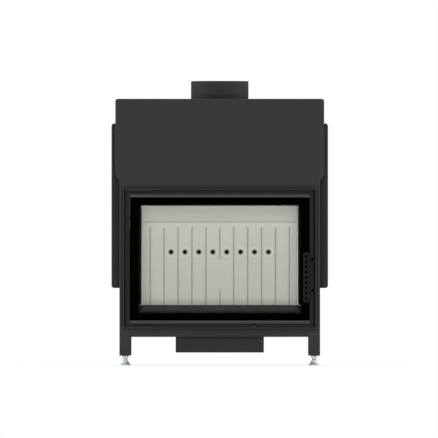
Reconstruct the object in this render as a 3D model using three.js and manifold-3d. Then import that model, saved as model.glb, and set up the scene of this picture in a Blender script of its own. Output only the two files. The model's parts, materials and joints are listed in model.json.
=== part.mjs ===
// A wood-burning fireplace insert with a side-hinged glass door, in millimetres.
// X runs to the right, Y to the rear and Z up. The origin is on the floor, at the
// centre of the footprint. While a piece is drawn, y = 0 is the face of the front plate.
import * as THREE from 'three';
import { mergeVertices } from 'three/addons/utils/BufferGeometryUtils.js';
import Module from 'manifold-3d';

const wasm = await Module();
wasm.setup();

// ---------------------------------------------------------------- general
const FIT = 0.3;                 // gap between two pieces that touch
const RUN = 0.4;                 // radial play of a pin or stud in its hole
const SHEET = 3;                 // folded steel sheet of the frame
const BEND = 5;                  // outer radius of a fold in that sheet
const SEGMENTS = 32;             // facets on a round piece

// ---------------------------------------------------------------- frame and legs
const FRAME_WIDTH = 694.4;
const BODY_REAR = 405;           // rear face of the rear legs
const LEG_BOTTOM = 33.9;
const LEG_WIDTH = 39.2;
const LEG_DEPTH = 39;
const RAIL_BOTTOM = 98.8;
const RAIL_RECESS = 1.5;         // the front rail stands this far behind the legs
const RAIL_DEPTH = 30;
const BASE_RAIL_FLANGE = 58;     // shelf of a side rail, under the firebox
const FOOT_PLATE = 5;

// ---------------------------------------------------------------- door surround
const STILE_WIDTH = 12.2;        // of the front plate, beside the lip
const LIP_WIDTH = FRAME_WIDTH - 2 * STILE_WIDTH;
const LIP_BOTTOM = 127.7;
const LIP_HEIGHT = 484;
const LIP_TOP = LIP_BOTTOM + LIP_HEIGHT;
const LIP_PROUD = 20;            // how far the lip stands out of the front plate
const LIP_WALL = 4;
const STOP_FRONT = 12;           // face the door seal presses on
const STOP_THICKNESS = 3;
const STOP_SIDE = 52;            // width of the stop frame, measured from outside the lip
const STOP_FOOT = 48.3;
const STOP_HEAD = 50.7;
const MOUTH_WIDTH = LIP_WIDTH - 2 * STOP_SIDE;
const MOUTH_BOTTOM = LIP_BOTTOM + STOP_FOOT;
const MOUTH_TOP = LIP_TOP - STOP_HEAD;

// ---------------------------------------------------------------- head of the front plate
const FRAME_HEAD = 59.3;         // from the lip up to the joint with the hood plate
const SHOULDER_DROP = 12;        // from that joint down to the full width
const SHOULDER_RISE = 21;        // the front plate widens over this height
const FRAME_TOP = LIP_TOP + FRAME_HEAD;
const SHOULDER_HIGH = FRAME_TOP - SHOULDER_DROP;
const SHOULDER_LOW = SHOULDER_HIGH - SHOULDER_RISE;

// ---------------------------------------------------------------- levelling feet
const STUD_RADIUS = 6;
const STUD_TOP = 85;
const FOOT_RADIUS = 20;
const FOOT_RIM = 2.2;
const COLLAR_BOTTOM = 12;
const COLLAR_TOP = 19;
const COLLAR_RADIUS = 10;        // over the corners of the hexagon
const NUT_RADIUS = 10.95;        // over the corners
const NUT_HEIGHT = 10.8;

// ---------------------------------------------------------------- hood
const HOOD_OVERHANG = 14.2;      // of the hood plate, on each side of the frame
const HOOD_WIDTH = FRAME_WIDTH + 2 * HOOD_OVERHANG;
const HOOD_HEIGHT = 252;
const HOOD_TOP = FRAME_TOP + HOOD_HEIGHT;
const HOOD_CORNER = 8.6;
const HOOD_RETURN = 18;
const HOOD_SHEET = 2.5;
const FLUE_RADIUS = 100;
const FLUE_WALL = 3;
const FLUE_RISE = 63;            // of the collar, above the hood
const FLUE_SINK = 51;            // and below its top
const FLUE_TOP = HOOD_TOP + FLUE_RISE;
const FLUE_BOTTOM = HOOD_TOP - FLUE_SINK;
const FLUE_Y = 210;
const FLUE_RIM = 1;              // chamfer on the rim of the collar

// ---------------------------------------------------------------- convection covers
const CASING_DEPTH = 27.5;       // how far a side casing stands out of the frame
const CASING_BOTTOM = 268;
const CASING_DROP = 85;          // of the casing's top, below the hood's
const CASING_TOP = HOOD_TOP - CASING_DROP;
const CASING_FRONT = 40;
const CASING_REAR = BODY_REAR - 5;
const CASING_BEND = 9;
const CASING_SHEET = 2;
const SHIELD_INSET = 17.2;       // of the rear shield, from each side of the frame
const SHIELD_WIDTH = FRAME_WIDTH - 2 * SHIELD_INSET;
const SHIELD_BOTTOM = 135;
const SHIELD_DROP = 23;
const SHIELD_TOP = HOOD_TOP - SHIELD_DROP;
const SHIELD_DEPTH = 33;
const SHIELD_REAR = BODY_REAR + SHIELD_DEPTH;

// ---------------------------------------------------------------- firebox
const SHELL_WIDTH = FRAME_WIDTH - 2 * LEG_WIDTH;
const SHELL_BOTTOM = LIP_BOTTOM + FIT;
const SHELL_TOP = FRAME_TOP - SHEET;
const SHELL_WALL = 4;
const HEAD_LAP = 39;             // of the wall above the door, over the mouth
const SHELL_HEAD = MOUTH_TOP + HEAD_LAP;
const THROAT_INSET = 80;         // of the smoke opening, from each side of the firebox
const THROAT_WIDTH = SHELL_WIDTH - 2 * THROAT_INSET;
const THROAT_DEPTH = 216;
const THROAT_CORNER = 20;
const THROAT_FLANGE = 16;
const GATHER_NECK = FLUE_BOTTOM - 4;
const AIR_CHAMBER = 31;          // height of the space under the floor pan
const FLOOR_PAN_TOP = SHELL_BOTTOM + AIR_CHAMBER;
const SIDE_LINING = 40;          // from outside the firebox to the face of a side slab
const FIREBOX_WIDTH = SHELL_WIDTH - 2 * SIDE_LINING;
const LINING_FRONT = 66;
const SMOKE_GAP = 38;            // over the side slabs
const LINING_TOP = SHELL_TOP - SMOKE_GAP;
const BACK_SETBACK = 55;         // from the face of the back slab to the rear legs
const BACK_FRONT = BODY_REAR - BACK_SETBACK;
const BACK_THICKNESS = 22;
const HEARTH_THICKNESS = 40.7;
const HEARTH_TOP = FLOOR_PAN_TOP + FIT + HEARTH_THICKNESS;
const ARRIS = 4;                 // chamfer on the front edges of the side linings
const DEFLECTOR_THICKNESS = 25;
const DEFLECTOR_RUN = 160;       // how far it leans forward
const DEFLECTOR_FRONT = BACK_FRONT - DEFLECTOR_RUN;
const DEFLECTOR_RISE = 102;
const DEFLECTOR_CLEAR = 30.3;    // from its front edge up to the baffle plate
const BACK_TOP = LINING_TOP - DEFLECTOR_CLEAR - DEFLECTOR_RISE;
const GROOVE_PITCH = 48.5;
const GROOVE_COUNT = 11;
const GROOVE_WIDTH = 6.5;
const GROOVE_STOP = 18.7;        // plain margin above the flutes
const GROOVE_TOP = BACK_TOP - GROOVE_STOP;
const AIR_HOLE_COUNT = 8;
const AIR_HOLE_DROP = 105.7;     // below the top of the back slab
const AIR_HOLE_Z = BACK_TOP - AIR_HOLE_DROP;
const AIR_HOLE_RADIUS = 5.9;
const AIR_HOLE_SINK = 12.5;
const SINK_DEPTH = 4;
const FIELD_DROP = 26;           // of the plain field in the middle, below the holes
const FIELD_HEIGHT = 104;        // the middle groove is interrupted over this height
const FIELD_TOP = AIR_HOLE_Z - FIELD_DROP;
const FIELD_BOTTOM = FIELD_TOP - FIELD_HEIGHT;
const DUCT_MARGIN = 15.25;       // of the air duct, outside the outermost holes
const DUCT_WIDTH = (AIR_HOLE_COUNT - 1) * GROOVE_PITCH + 2 * DUCT_MARGIN;
const DUCT_HEAD = 28;            // over the holes
const DUCT_TOP = AIR_HOLE_Z + DUCT_HEAD;
const DUCT_SHEET = 2;
const DUCT_SHOULDER = 20;        // beside the duct's inlet
const BAFFLE_FRONT = 120;
const BAFFLE_REAR = BACK_FRONT - 20;
const BAFFLE_THICKNESS = 4;

// ---------------------------------------------------------------- lining retainers
const RETAINER_STEP = 4;         // from the face of the side slab to the retainer's edge
const RETAINER_WIDTH = 28;
const RETAINER_INNER = FIREBOX_WIDTH / 2 + RETAINER_STEP;
const RETAINER_OUTER = RETAINER_INNER + RETAINER_WIDTH;
const RETAINER_FRONT = STOP_FRONT + STOP_THICKNESS + 5;
const GUARD_LIFT = 15.6;         // over the hearth
const GUARD_TOP = HEARTH_TOP + GUARD_LIFT;
const GUARD_BEVEL = 34;          // height of its sloping face
const GUARD_KNEE = GUARD_TOP - GUARD_BEVEL;
const GUARD_FRONT = STOP_FRONT + STOP_THICKNESS + 9;
const GUARD_REAR = LINING_FRONT - 4;
const MITRE_GAP = 4;

// ---------------------------------------------------------------- air supply
const AIR_BOX_WIDTH = 305.6;
const AIR_BOX_BOTTOM = 44.5;
const AIR_BOX_FRONT = 40;
const AIR_BOX_LENGTH = 220;
const AIR_BOX_REAR = AIR_BOX_FRONT + AIR_BOX_LENGTH;
const AIR_BOX_SHEET = 2.5;
const AIR_RADIUS = 62.5;         // fresh-air duct
const AIR_COLLAR_WALL = 2;
const AIR_COLLAR_FLANGE = 9;
const AIR_COLLAR_HEIGHT = 40;
const SLIDE_X = 115;
const SLIDE_THICKNESS = 4.7;
const TAB_WIDTH = 22;
const TAB_PROUD = 6;             // in front of the lip, pushed in
const TAB_REACH = LIP_PROUD + TAB_PROUD;
const SLIDE_PLATE_WIDTH = 90;
const SLIDE_PLATE_FRONT = 62;
const SLIDE_PLATE_LENGTH = 188;
const SLIDE_PLATE_REAR = SLIDE_PLATE_FRONT + SLIDE_PLATE_LENGTH;
const SLIDE_TRAVEL = 30;
const GUIDE_WIDTH = 8;
const GUIDE_LIP = 2;
const PORT_WIDTH = 60;
const PORT_LENGTH = 20;
const PORT_PITCH = 60;
const PORT_COUNT = 3;
const PORT_MARGIN = 18;          // from the front of the slide plate to the first port
const PORT_FIRST = SLIDE_PLATE_FRONT + PORT_MARGIN;

// ---------------------------------------------------------------- door
const HINGE_SIDE_GAP = 2;        // between the door and the lip, at the hinges
const LATCH_SIDE_GAP = 5;
const DOOR_FOOT_GAP = 1.8;
const DOOR_HEAD_GAP = 2.2;
const DOOR_LEFT = -(LIP_WIDTH / 2 - LIP_WALL - HINGE_SIDE_GAP);
const DOOR_RIGHT = LIP_WIDTH / 2 - LIP_WALL - LATCH_SIDE_GAP;
const DOOR_BOTTOM = LIP_BOTTOM + LIP_WALL + DOOR_FOOT_GAP;
const DOOR_TOP = LIP_TOP - LIP_WALL - DOOR_HEAD_GAP;
const DOOR_RECESS = 2;           // of the door's face, behind the edge of the lip
const SEAL_GAP = 4;              // between the door and the stop
const DOOR_FRONT = -LIP_PROUD + DOOR_RECESS;
const DOOR_REAR = STOP_FRONT - SEAL_GAP;
const DOOR_EDGE = 4;             // radius of the upright front edges
const WINDOW_SIDE = 51;          // from outside the lip to the opening of the door frame
const WINDOW_FOOT = 41.5;
const WINDOW_HEAD = 43.5;
const WINDOW_WIDTH = LIP_WIDTH - 2 * WINDOW_SIDE;
const WINDOW_BOTTOM = DOOR_BOTTOM + WINDOW_FOOT;
const WINDOW_TOP = DOOR_TOP - WINDOW_HEAD;
const GLASS_SIDE_LAP = 27.4;     // of the glass over the door frame
const GLASS_FOOT_LAP = 25;
const GLASS_HEAD_LAP = 25.5;
const GLASS_WIDTH = WINDOW_WIDTH + 2 * GLASS_SIDE_LAP;
const GLASS_BOTTOM = WINDOW_BOTTOM - GLASS_FOOT_LAP;
const GLASS_TOP = WINDOW_TOP + GLASS_HEAD_LAP;
const GLASS_THICKNESS = 4;
const GLASS_INSET = 1;           // behind the face of the door frame
const GASKET_THICKNESS = 1.2;
const GASKET_WIDTH = 14;
const STRIP_HEEL_FOOT = 6;       // of the clamping strips, outside the glass
const STRIP_HEEL_HEAD = 5.9;
const STRIP_BOTTOM = GLASS_BOTTOM - STRIP_HEEL_FOOT;
const STRIP_TOP = GLASS_TOP + STRIP_HEEL_HEAD;
const STRIP_WIDTH = 11.5;
const STRIP_PROUD = 2.5;
const STRIP_GAP = 1.4;           // between a strip and the door frame
const CLIP_SPACING = 160;        // of the notches for the clips that hold the strips
const CLIP_WIDTH = 11;
const CLIP_NOTCH = 1.6;
const ROPE_RADIUS = 3.7;
const ROPE_GROOVE = 8;
const ROPE_SINK = 4;
const ROPE_INSET = 10;           // rope centre outside the window edge
const POCKET_WALL = 3;
const POCKET_DEPTH = 14;
const HINGE_INSET = 7;           // of the pin, from the door's edge
const HINGE_X = DOOR_LEFT + HINGE_INSET;
const HINGE_Y = DOOR_FRONT + 6;
const HINGE_PIN = 3;
const HINGE_PIN_LENGTH = 16;
const HINGE_PLATE_REACH = 88;
const HINGE_PLATE = 5;
const HINGE_BLOCK_HEIGHT = 26;   // solid corner of the door round the pin
const HINGE_BLOCK_WIDTH = 16;
const RELIEF_HEIGHT = 3.2;       // of the groove beside a hinge plate, in the door's face
const RELIEF_DEPTH = 6;
const RELIEF_START = 23;         // of the long groove, from the pin
const RELIEF_DOT = 12;           // of the short one

// ---------------------------------------------------------------- handle and latch
const SHAFT_INSET = 11;          // of the shaft, from the door's edge
const SHAFT_X = DOOR_RIGHT - SHAFT_INSET;
const SHAFT_Y = DOOR_REAR - 8;
const SHAFT_RADIUS = 4;
const HANDLE_FOOT = 85.2;        // of the grip, above the foot of the door
const HANDLE_HEIGHT = 172.6;
const HANDLE_BOTTOM = DOOR_BOTTOM + HANDLE_FOOT;
const HANDLE_TOP = HANDLE_BOTTOM + HANDLE_HEIGHT;
const HANDLE_SET = 4.5;          // of the grip's fold, beside the shaft
const HANDLE_WIDTH = 22.5;
const HANDLE_RIGHT = SHAFT_X - HANDLE_SET;
const HANDLE_LEFT = HANDLE_RIGHT - HANDLE_WIDTH;
const HANDLE_STANDOFF = 24;      // in front of the door's face
const HANDLE_FRONT = DOOR_FRONT - HANDLE_STANDOFF;
const HANDLE_RETURN = 15;
const HANDLE_CORNER = 6;
const HANDLE_HOLE = 5;
const HANDLE_HOLE_PITCH = 18.2;
const HANDLE_HOLE_COUNT = 9;
const ARM_HEAD = 25.3;           // of the upper arm, below the top of the grip
const ARM_FOOT = 41.3;           // of the lower arm, above its foot
const ARM_HEIGHTS = [HANDLE_TOP - ARM_HEAD, HANDLE_BOTTOM + ARM_FOOT];
const ARM_THICKNESS = 6;
const ARM_WIDTH = 4;
const EYE_RADIUS = 6.5;
const CAM_FOOT = 101.5;          // of the lower cam, above the foot of the door
const CAM_SPACING = 248;
const CAM_HEIGHTS = [DOOR_BOTTOM + CAM_FOOT + CAM_SPACING, DOOR_BOTTOM + CAM_FOOT];
const CAM_THICKNESS = 6;
const BEARING_HEIGHTS = [CAM_HEIGHTS[0] - 22, CAM_HEIGHTS[1] + 41];
const BEARING_LENGTH = 12;
const SHAFT_BOTTOM = CAM_HEIGHTS[1] - 10;
const SHAFT_TOP = CAM_HEIGHTS[0] + 12;
const KEEPER_LENGTH = 24;
const KEEPER_THICKNESS = 1.7;
const KEEPER_GAP = 0.6;          // between the cam's tip and the keeper
const KEEPER_FACE = LIP_WIDTH / 2 - LIP_WALL - FIT - KEEPER_THICKNESS;
const CAM_REACH = KEEPER_FACE - KEEPER_GAP - SHAFT_X;

// ---------------------------------------------------------------- finishes
const BLACK_STEEL = { color: 0x393939, roughness: 0.55, metalness: 0.3 };
const DARK_STEEL = { color: 0x2e2e2f, roughness: 0.6, metalness: 0.3 };
const BARE_STEEL = { color: 0xb9bbbf, roughness: 0.3, metalness: 1 };
const FIRECLAY = { color: 0xbdbcb7, roughness: 0.9, metalness: 0 };
const ROPE = { color: 0x2a2a2a, roughness: 1, metalness: 0 };
const CERAMIC_GLASS = { color: 0x101010, roughness: 0.08, metalness: 0, transparent: true, opacity: 0.35 };

// ================================================================ solids

// Turns a closed three.js geometry into a solid that can be cut and joined.
function solid(geometry) {
  const source = geometry.index ? geometry.toNonIndexed() : geometry;
  const bare = new THREE.BufferGeometry();
  bare.setAttribute('position', source.getAttribute('position').clone());
  const merged = mergeVertices(bare, 1e-3);
  const points = merged.getAttribute('position').array;
  const kept = [];
  let volume = 0;
  for (let i = 0; i < merged.index.count; i += 3) {
    const [a, b, c] = [0, 1, 2].map((k) => merged.index.getX(i + k));
    if (a === b || b === c || a === c) continue;
    kept.push([a, b, c]);
    const [pa, pb, pc] = [a, b, c].map((k) => new THREE.Vector3().fromArray(points, 3 * k));
    volume += pa.dot(pb.cross(pc));
  }
  const triangles = kept.flatMap(([a, b, c]) => (volume > 0 ? [a, b, c] : [a, c, b]));
  return new wasm.Manifold(new wasm.Mesh({
    numProp: 3,
    vertProperties: new Float32Array(points),
    triVerts: new Uint32Array(triangles),
  }));
}

function join(...parts) {
  return parts.reduce((a, b) => a.add(b));
}

function cut(body, ...tools) {
  return tools.reduce((a, b) => a.subtract(b), body);
}

function mirrored(body) {
  return body.mirror([1, 0, 0]);
}

function block(x0, x1, y0, y1, z0, z1) {
  const box = new THREE.BoxGeometry(x1 - x0, y1 - y0, z1 - z0);
  return solid(box.translate((x0 + x1) / 2, (y0 + y1) / 2, (z0 + z1) / 2));
}

// Extrudes a flat outline. The three directions say where its u, v and depth go.
function extrude(outline, from, to, u, v, w, bevel = 0) {
  const shape = outline instanceof THREE.Shape ? outline : new THREE.Shape(outline);
  const geometry = new THREE.ExtrudeGeometry(shape, {
    depth: to - from - 2 * bevel,
    bevelEnabled: bevel > 0,
    bevelThickness: bevel,
    bevelSize: bevel,
    bevelSegments: 3,
    curveSegments: 8,
  });
  geometry.translate(0, 0, from + bevel);
  return solid(geometry.applyMatrix4(new THREE.Matrix4().makeBasis(u, v, w)));
}

const X = new THREE.Vector3(1, 0, 0);
const Y = new THREE.Vector3(0, 1, 0);
const Z = new THREE.Vector3(0, 0, 1);

const alongX = (outline, x0, x1) => extrude(outline, x0, x1, Y, Z, X);   // outline in (y, z)
const alongY = (outline, y0, y1) => extrude(outline, y0, y1, X, Z, Y);   // outline in (x, z)
const alongZ = (outline, z0, z1) => extrude(outline, z0, z1, X, Y, Z);   // outline in (x, y)

function upright(radius, x, y, z0, z1, sides = SEGMENTS) {
  const geometry = new THREE.CylinderGeometry(radius, radius, z1 - z0, sides);
  return solid(geometry.rotateX(Math.PI / 2).translate(x, y, (z0 + z1) / 2));
}

function turned(profile, x, y, sides = SEGMENTS) {
  const points = profile.map(([r, z]) => new THREE.Vector2(r, z));
  const geometry = new THREE.LatheGeometry(points, sides);
  return solid(geometry.rotateX(Math.PI / 2).translate(x, y, 0));
}

// ================================================================ outlines

const at = (x, y) => new THREE.Vector2(x, y);

const rectangle = (x0, x1, y0, y1) => [at(x0, y0), at(x1, y0), at(x1, y1), at(x0, y1)];

// Rounds the corners of a polygon, each with its own radius.
function rounded(points, radii, steps = 4, closed = true) {
  const result = [];
  points.forEach((corner, i) => {
    const radius = Array.isArray(radii) ? radii[i] : radii;
    const isEnd = !closed && (i === 0 || i === points.length - 1);
    if (isEnd || radius <= 0) {
      result.push(corner.clone());
      return;
    }
    const before = points[(i + points.length - 1) % points.length].clone().sub(corner).normalize();
    const after = points[(i + 1) % points.length].clone().sub(corner).normalize();
    const half = Math.acos(THREE.MathUtils.clamp(before.dot(after), -1, 1)) / 2;
    const reach = radius / Math.tan(half);
    const middle = before.clone().add(after).normalize().multiplyScalar(radius / Math.sin(half));
    const centre = corner.clone().add(middle);
    const start = corner.clone().addScaledVector(before, reach).sub(centre);
    const end = corner.clone().addScaledVector(after, reach).sub(centre);
    const sweep = Math.atan2(start.cross(end), start.dot(end));
    for (let k = 0; k <= steps; k += 1) {
      result.push(start.clone().rotateAround(at(0, 0), sweep * k / steps).add(centre));
    }
  });
  return result;
}

const roundedRectangle = (x0, x1, y0, y1, r, steps) => rounded(rectangle(x0, x1, y0, y1), r, steps);

// Moves every side of a counter-clockwise polygon outwards.
function grown(points, distance) {
  const outward = (a, b) => at(b.y - a.y, a.x - b.x).normalize();
  return points.map((p, i) => {
    const n1 = outward(points[(i + points.length - 1) % points.length], p);
    const n2 = outward(p, points[(i + 1) % points.length]);
    return p.clone().addScaledVector(n1.clone().add(n2), distance / (1 + n1.dot(n2)));
  });
}

// Cross-section of a folded sheet. The path is one face of the sheet, which lies to
// the left of it, and every fold has the given outer radius.
function foldedSection(path, thickness, radius) {
  const left = (a, b) => at(a.y - b.y, b.x - a.x).normalize();
  const last = path.length - 1;
  const other = path.map((p, i) => {
    const n1 = left(path[Math.max(i - 1, 0)], path[Math.max(i, 1)]);
    const n2 = left(path[Math.min(i, last - 1)], path[Math.min(i + 1, last)]);
    return p.clone().addScaledVector(n1.clone().add(n2), thickness / (1 + n1.dot(n2)));
  });
  const inner = Math.max(radius - thickness, 0.5);
  const turnsLeft = path.map((p, i) => {
    if (i === 0 || i === last) return true;
    return p.clone().sub(path[i - 1]).cross(path[i + 1].clone().sub(p)) > 0;
  });
  const near = rounded(path, turnsLeft.map((isLeft) => (isLeft ? radius : inner)), 4, false);
  const far = rounded(other, turnsLeft.map((isLeft) => (isLeft ? inner : radius)), 4, false);
  return [...near, ...far.reverse()];
}

// A tray: a flat face with a fold of the same sheet all round it. The outline lies in
// (u, v), the face is at w = 0 and the folded sides run to w = depth.
function tray(outline, depth, sheet, bend, u, v, w) {
  const outer = extrude(grown(outline, -bend), 0, 2 * depth + 2 * bend, u, v, w, bend);
  const innerBend = Math.max(bend - sheet, 0.5);
  const core = grown(outline, -sheet - innerBend);
  const inner = extrude(core, sheet, 3 * depth + 3 * bend, u, v, w, innerBend);
  const waste = extrude(grown(outline, 10), depth, 4 * depth + 4 * bend, u, v, w);
  return cut(outer, inner, waste);
}

// A closed ring of round section along a flat loop of points (x, z) at depth y.
function ropeLoop(loop, y, radius, sides = 8) {
  const points = [];
  const faces = [];
  loop.forEach((p, i) => {
    const a = loop[(i + loop.length - 1) % loop.length];
    const b = loop[(i + 1) % loop.length];
    const across = at(b.y - a.y, a.x - b.x).normalize();
    for (let k = 0; k < sides; k += 1) {
      const angle = (2 * Math.PI * (k + 0.5)) / sides;
      const side = radius * Math.cos(angle);
      points.push(p.x + across.x * side, y + radius * Math.sin(angle), p.y + across.y * side);
      const next = (k + 1) % sides;
      const row = i * sides;
      const nextRow = ((i + 1) % loop.length) * sides;
      faces.push(row + k, nextRow + k, nextRow + next, row + k, nextRow + next, row + next);
    }
  });
  const geometry = new THREE.BufferGeometry();
  geometry.setAttribute('position', new THREE.Float32BufferAttribute(points, 3));
  geometry.setIndex(faces);
  return solid(geometry);
}

// A solid through a stack of loops with the same number of points, closed at both ends.
function loft(levels) {
  const count = levels[0].loop.length;
  const points = [];
  const faces = [];
  levels.forEach(({ loop, z }) => loop.forEach((p) => points.push(p.x, p.y, z)));
  for (let level = 0; level < levels.length - 1; level += 1) {
    for (let i = 0; i < count; i += 1) {
      const a = level * count + i;
      const b = level * count + ((i + 1) % count);
      faces.push(a, b, b + count, a, b + count, a + count);
    }
  }
  [0, levels.length - 1].forEach((level) => {
    const centre = points.length / 3;
    const { loop, z } = levels[level];
    const middle = loop.reduce((sum, p) => sum.add(p), at(0, 0)).divideScalar(count);
    points.push(middle.x, middle.y, z);
    for (let i = 0; i < count; i += 1) {
      const a = level * count + i;
      const b = level * count + ((i + 1) % count);
      faces.push(...(level === 0 ? [centre, b, a] : [centre, a, b]));
    }
  });
  const geometry = new THREE.BufferGeometry();
  geometry.setAttribute('position', new THREE.Float32BufferAttribute(points, 3));
  geometry.setIndex(faces);
  return solid(geometry);
}

// ================================================================ frame

const legInner = FRAME_WIDTH / 2 - LEG_WIDTH;
const footX = FRAME_WIDTH / 2 - LEG_WIDTH / 2;
const frontFootY = (SHEET + LEG_DEPTH) / 2;
const rearFootY = BODY_REAR - frontFootY;
const lipHalf = LIP_WIDTH / 2;
const stopRear = STOP_FRONT + STOP_THICKNESS;

// A square plate in the foot of a leg, with the hole for the levelling stud.
function footPlate(x0, x1, y0, y1, x, y) {
  const plate = block(x0, x1, y0, y1, LEG_BOTTOM, LEG_BOTTOM + FOOT_PLATE);
  return cut(plate, upright(STUD_RADIUS + RUN, x, y, LEG_BOTTOM - 1, LEG_BOTTOM + FOOT_PLATE + 1, 24));
}

// The front plate: both front legs, the stiles beside the door and the shoulders under
// the hood are cut and folded from one sheet.
function frontFrame() {
  const w = FRAME_WIDTH / 2;
  const h = HOOD_WIDTH / 2;
  const low = LEG_BOTTOM - 20;
  const high = FRAME_TOP + 20;
  const outline = [
    at(-w, low), at(w, low), at(w, SHOULDER_LOW), at(h, SHOULDER_HIGH),
    at(h, high), at(-h, high), at(-h, SHOULDER_HIGH), at(-w, SHOULDER_LOW),
  ];
  const sheet = tray(outline, LEG_DEPTH, SHEET, BEND, X, Z, Y);
  const opening = LIP_BOTTOM - FIT;
  const trimmed = cut(
    sheet,
    block(-h - 9, h + 9, -9, LEG_DEPTH + 9, low - 9, LEG_BOTTOM),
    block(-h - 9, h + 9, -9, LEG_DEPTH + 9, FRAME_TOP, high + 9),
    block(-lipHalf - FIT, lipHalf + FIT, -9, LEG_DEPTH + 9, opening, LIP_TOP + FIT),
    block(-legInner, legInner, -9, LEG_DEPTH + 9, low - 9, opening + 1),
  );
  const plate = footPlate(legInner, w - SHEET / 2, SHEET / 2, LEG_DEPTH, footX, frontFootY);
  return join(trimmed, plate, mirrored(plate));
}

function rearLeg() {
  const x = FRAME_WIDTH / 2;
  const path = [at(x, BODY_REAR - LEG_DEPTH), at(x, BODY_REAR), at(x - LEG_WIDTH, BODY_REAR)];
  const angle = alongZ(foldedSection(path, SHEET, BEND), LEG_BOTTOM, FRAME_TOP);
  const front = BODY_REAR - LEG_DEPTH;
  const back = BODY_REAR - SHEET / 2;
  return join(angle, footPlate(legInner, x - SHEET / 2, front, back, footX, rearFootY));
}

function frontRail() {
  const top = LIP_BOTTOM - FIT;
  const rear = RAIL_RECESS + RAIL_DEPTH;
  const path = [at(RAIL_RECESS, top), at(RAIL_RECESS, RAIL_BOTTOM), at(rear, RAIL_BOTTOM)];
  return alongX(foldedSection(path, SHEET, BEND), -legInner + FIT, legInner - FIT);
}

function rearRail() {
  const top = SHELL_BOTTOM - FIT;
  const path = [at(BODY_REAR - RAIL_DEPTH, RAIL_BOTTOM), at(BODY_REAR, RAIL_BOTTOM), at(BODY_REAR, top)];
  return alongX(foldedSection(path, SHEET, BEND), -legInner + FIT, legInner - FIT);
}

// Angle rail between the front and the rear leg, whose shelf carries the firebox.
function sideRail() {
  const x = FRAME_WIDTH / 2 - SHEET - FIT;
  const top = SHELL_BOTTOM - FIT;
  const path = [at(x, RAIL_BOTTOM), at(x, top), at(x - BASE_RAIL_FLANGE, top)];
  return alongY(foldedSection(path, SHEET, BEND), stopRear + FIT, BODY_REAR - BEND - FIT);
}

// ================================================================ levelling feet

function hexagon(radius, z0, z1) {
  const angles = [0, 1, 2, 3, 4, 5].map((k) => (k * Math.PI) / 3);
  return alongZ(angles.map((a) => at(radius * Math.cos(a), radius * Math.sin(a))), z0, z1);
}

// Standing on its pad at z = 0, with the stud up into the leg.
function levellingFoot() {
  const neck = COLLAR_RADIUS - 1.4;
  const pad = turned([
    [0, 0], [FOOT_RADIUS, 0], [FOOT_RADIUS, FOOT_RIM], [FOOT_RADIUS - 1.5, FOOT_RIM + 1.2],
    [neck, COLLAR_BOTTOM + 0.5], [0, COLLAR_BOTTOM + 0.5],
  ], 0, 0, 36);
  const stud = turned([
    [0, COLLAR_BOTTOM], [STUD_RADIUS, COLLAR_BOTTOM], [STUD_RADIUS, STUD_TOP - 1.5],
    [STUD_RADIUS - 1.5, STUD_TOP], [0, STUD_TOP],
  ], 0, 0, 24);
  return join(pad, hexagon(COLLAR_RADIUS, COLLAR_BOTTOM, COLLAR_TOP), stud);
}

// A hexagon nut with turned chamfers, locked against the underside of the leg.
function lockNut() {
  const top = LEG_BOTTOM - FIT;
  const bottom = top - NUT_HEIGHT;
  const flat = NUT_RADIUS * Math.cos(Math.PI / 6);
  const turnedBlank = turned([
    [0, bottom], [flat, bottom], [NUT_RADIUS, bottom + 1.4],
    [NUT_RADIUS, top - 1.4], [flat, top], [0, top],
  ], 0, 0, 24);
  const blank = hexagon(NUT_RADIUS - 0.05, bottom - 1, top + 1).intersect(turnedBlank);
  return cut(blank, upright(STUD_RADIUS + RUN, 0, 0, bottom - 1, top + 1, 24));
}

// ================================================================ hood and flue

function hoodFrontPlate() {
  const w = HOOD_WIDTH / 2;
  const low = FRAME_TOP - 20;
  const outline = rounded(rectangle(-w, w, low, HOOD_TOP), [0, 0, HOOD_CORNER, HOOD_CORNER], 5);
  const sheet = tray(outline, HOOD_RETURN, SHEET, BEND, X, Z, Y);
  return cut(sheet, block(-w - 9, w + 9, -9, HOOD_RETURN + 9, low - 9, FRAME_TOP + FIT));
}

// Jacket behind the hood plate: two sides and a back folded from one sheet, with a roof.
function hoodShell() {
  const w = FRAME_WIDTH / 2 - FIT;
  const front = BEND + FIT;
  const top = HOOD_TOP - SHEET - FIT;
  const path = [at(w, front), at(w, BODY_REAR), at(-w, BODY_REAR), at(-w, front)];
  const walls = alongZ(foldedSection(path, HOOD_SHEET, BEND), FRAME_TOP + FIT, top);
  const roofOutline = rounded(rectangle(-w, w, front, BODY_REAR), [0, 0, BEND, BEND]);
  const roof = alongZ(roofOutline, top - HOOD_SHEET, top);
  const hole = upright(FLUE_RADIUS + FIT, 0, FLUE_Y, top - HOOD_SHEET - 1, top + 1, 48);
  return cut(join(walls, roof), hole);
}

// Flue collar, a plain ring with an eased rim.
function flueCollar() {
  const r = FLUE_RADIUS;
  const inner = r - FLUE_WALL;
  return turned([
    [inner, FLUE_BOTTOM], [r, FLUE_BOTTOM], [r, FLUE_TOP - FLUE_RIM],
    [r - FLUE_RIM, FLUE_TOP], [inner, FLUE_TOP], [inner, FLUE_BOTTOM],
  ], 0, FLUE_Y, 48);
}

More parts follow.
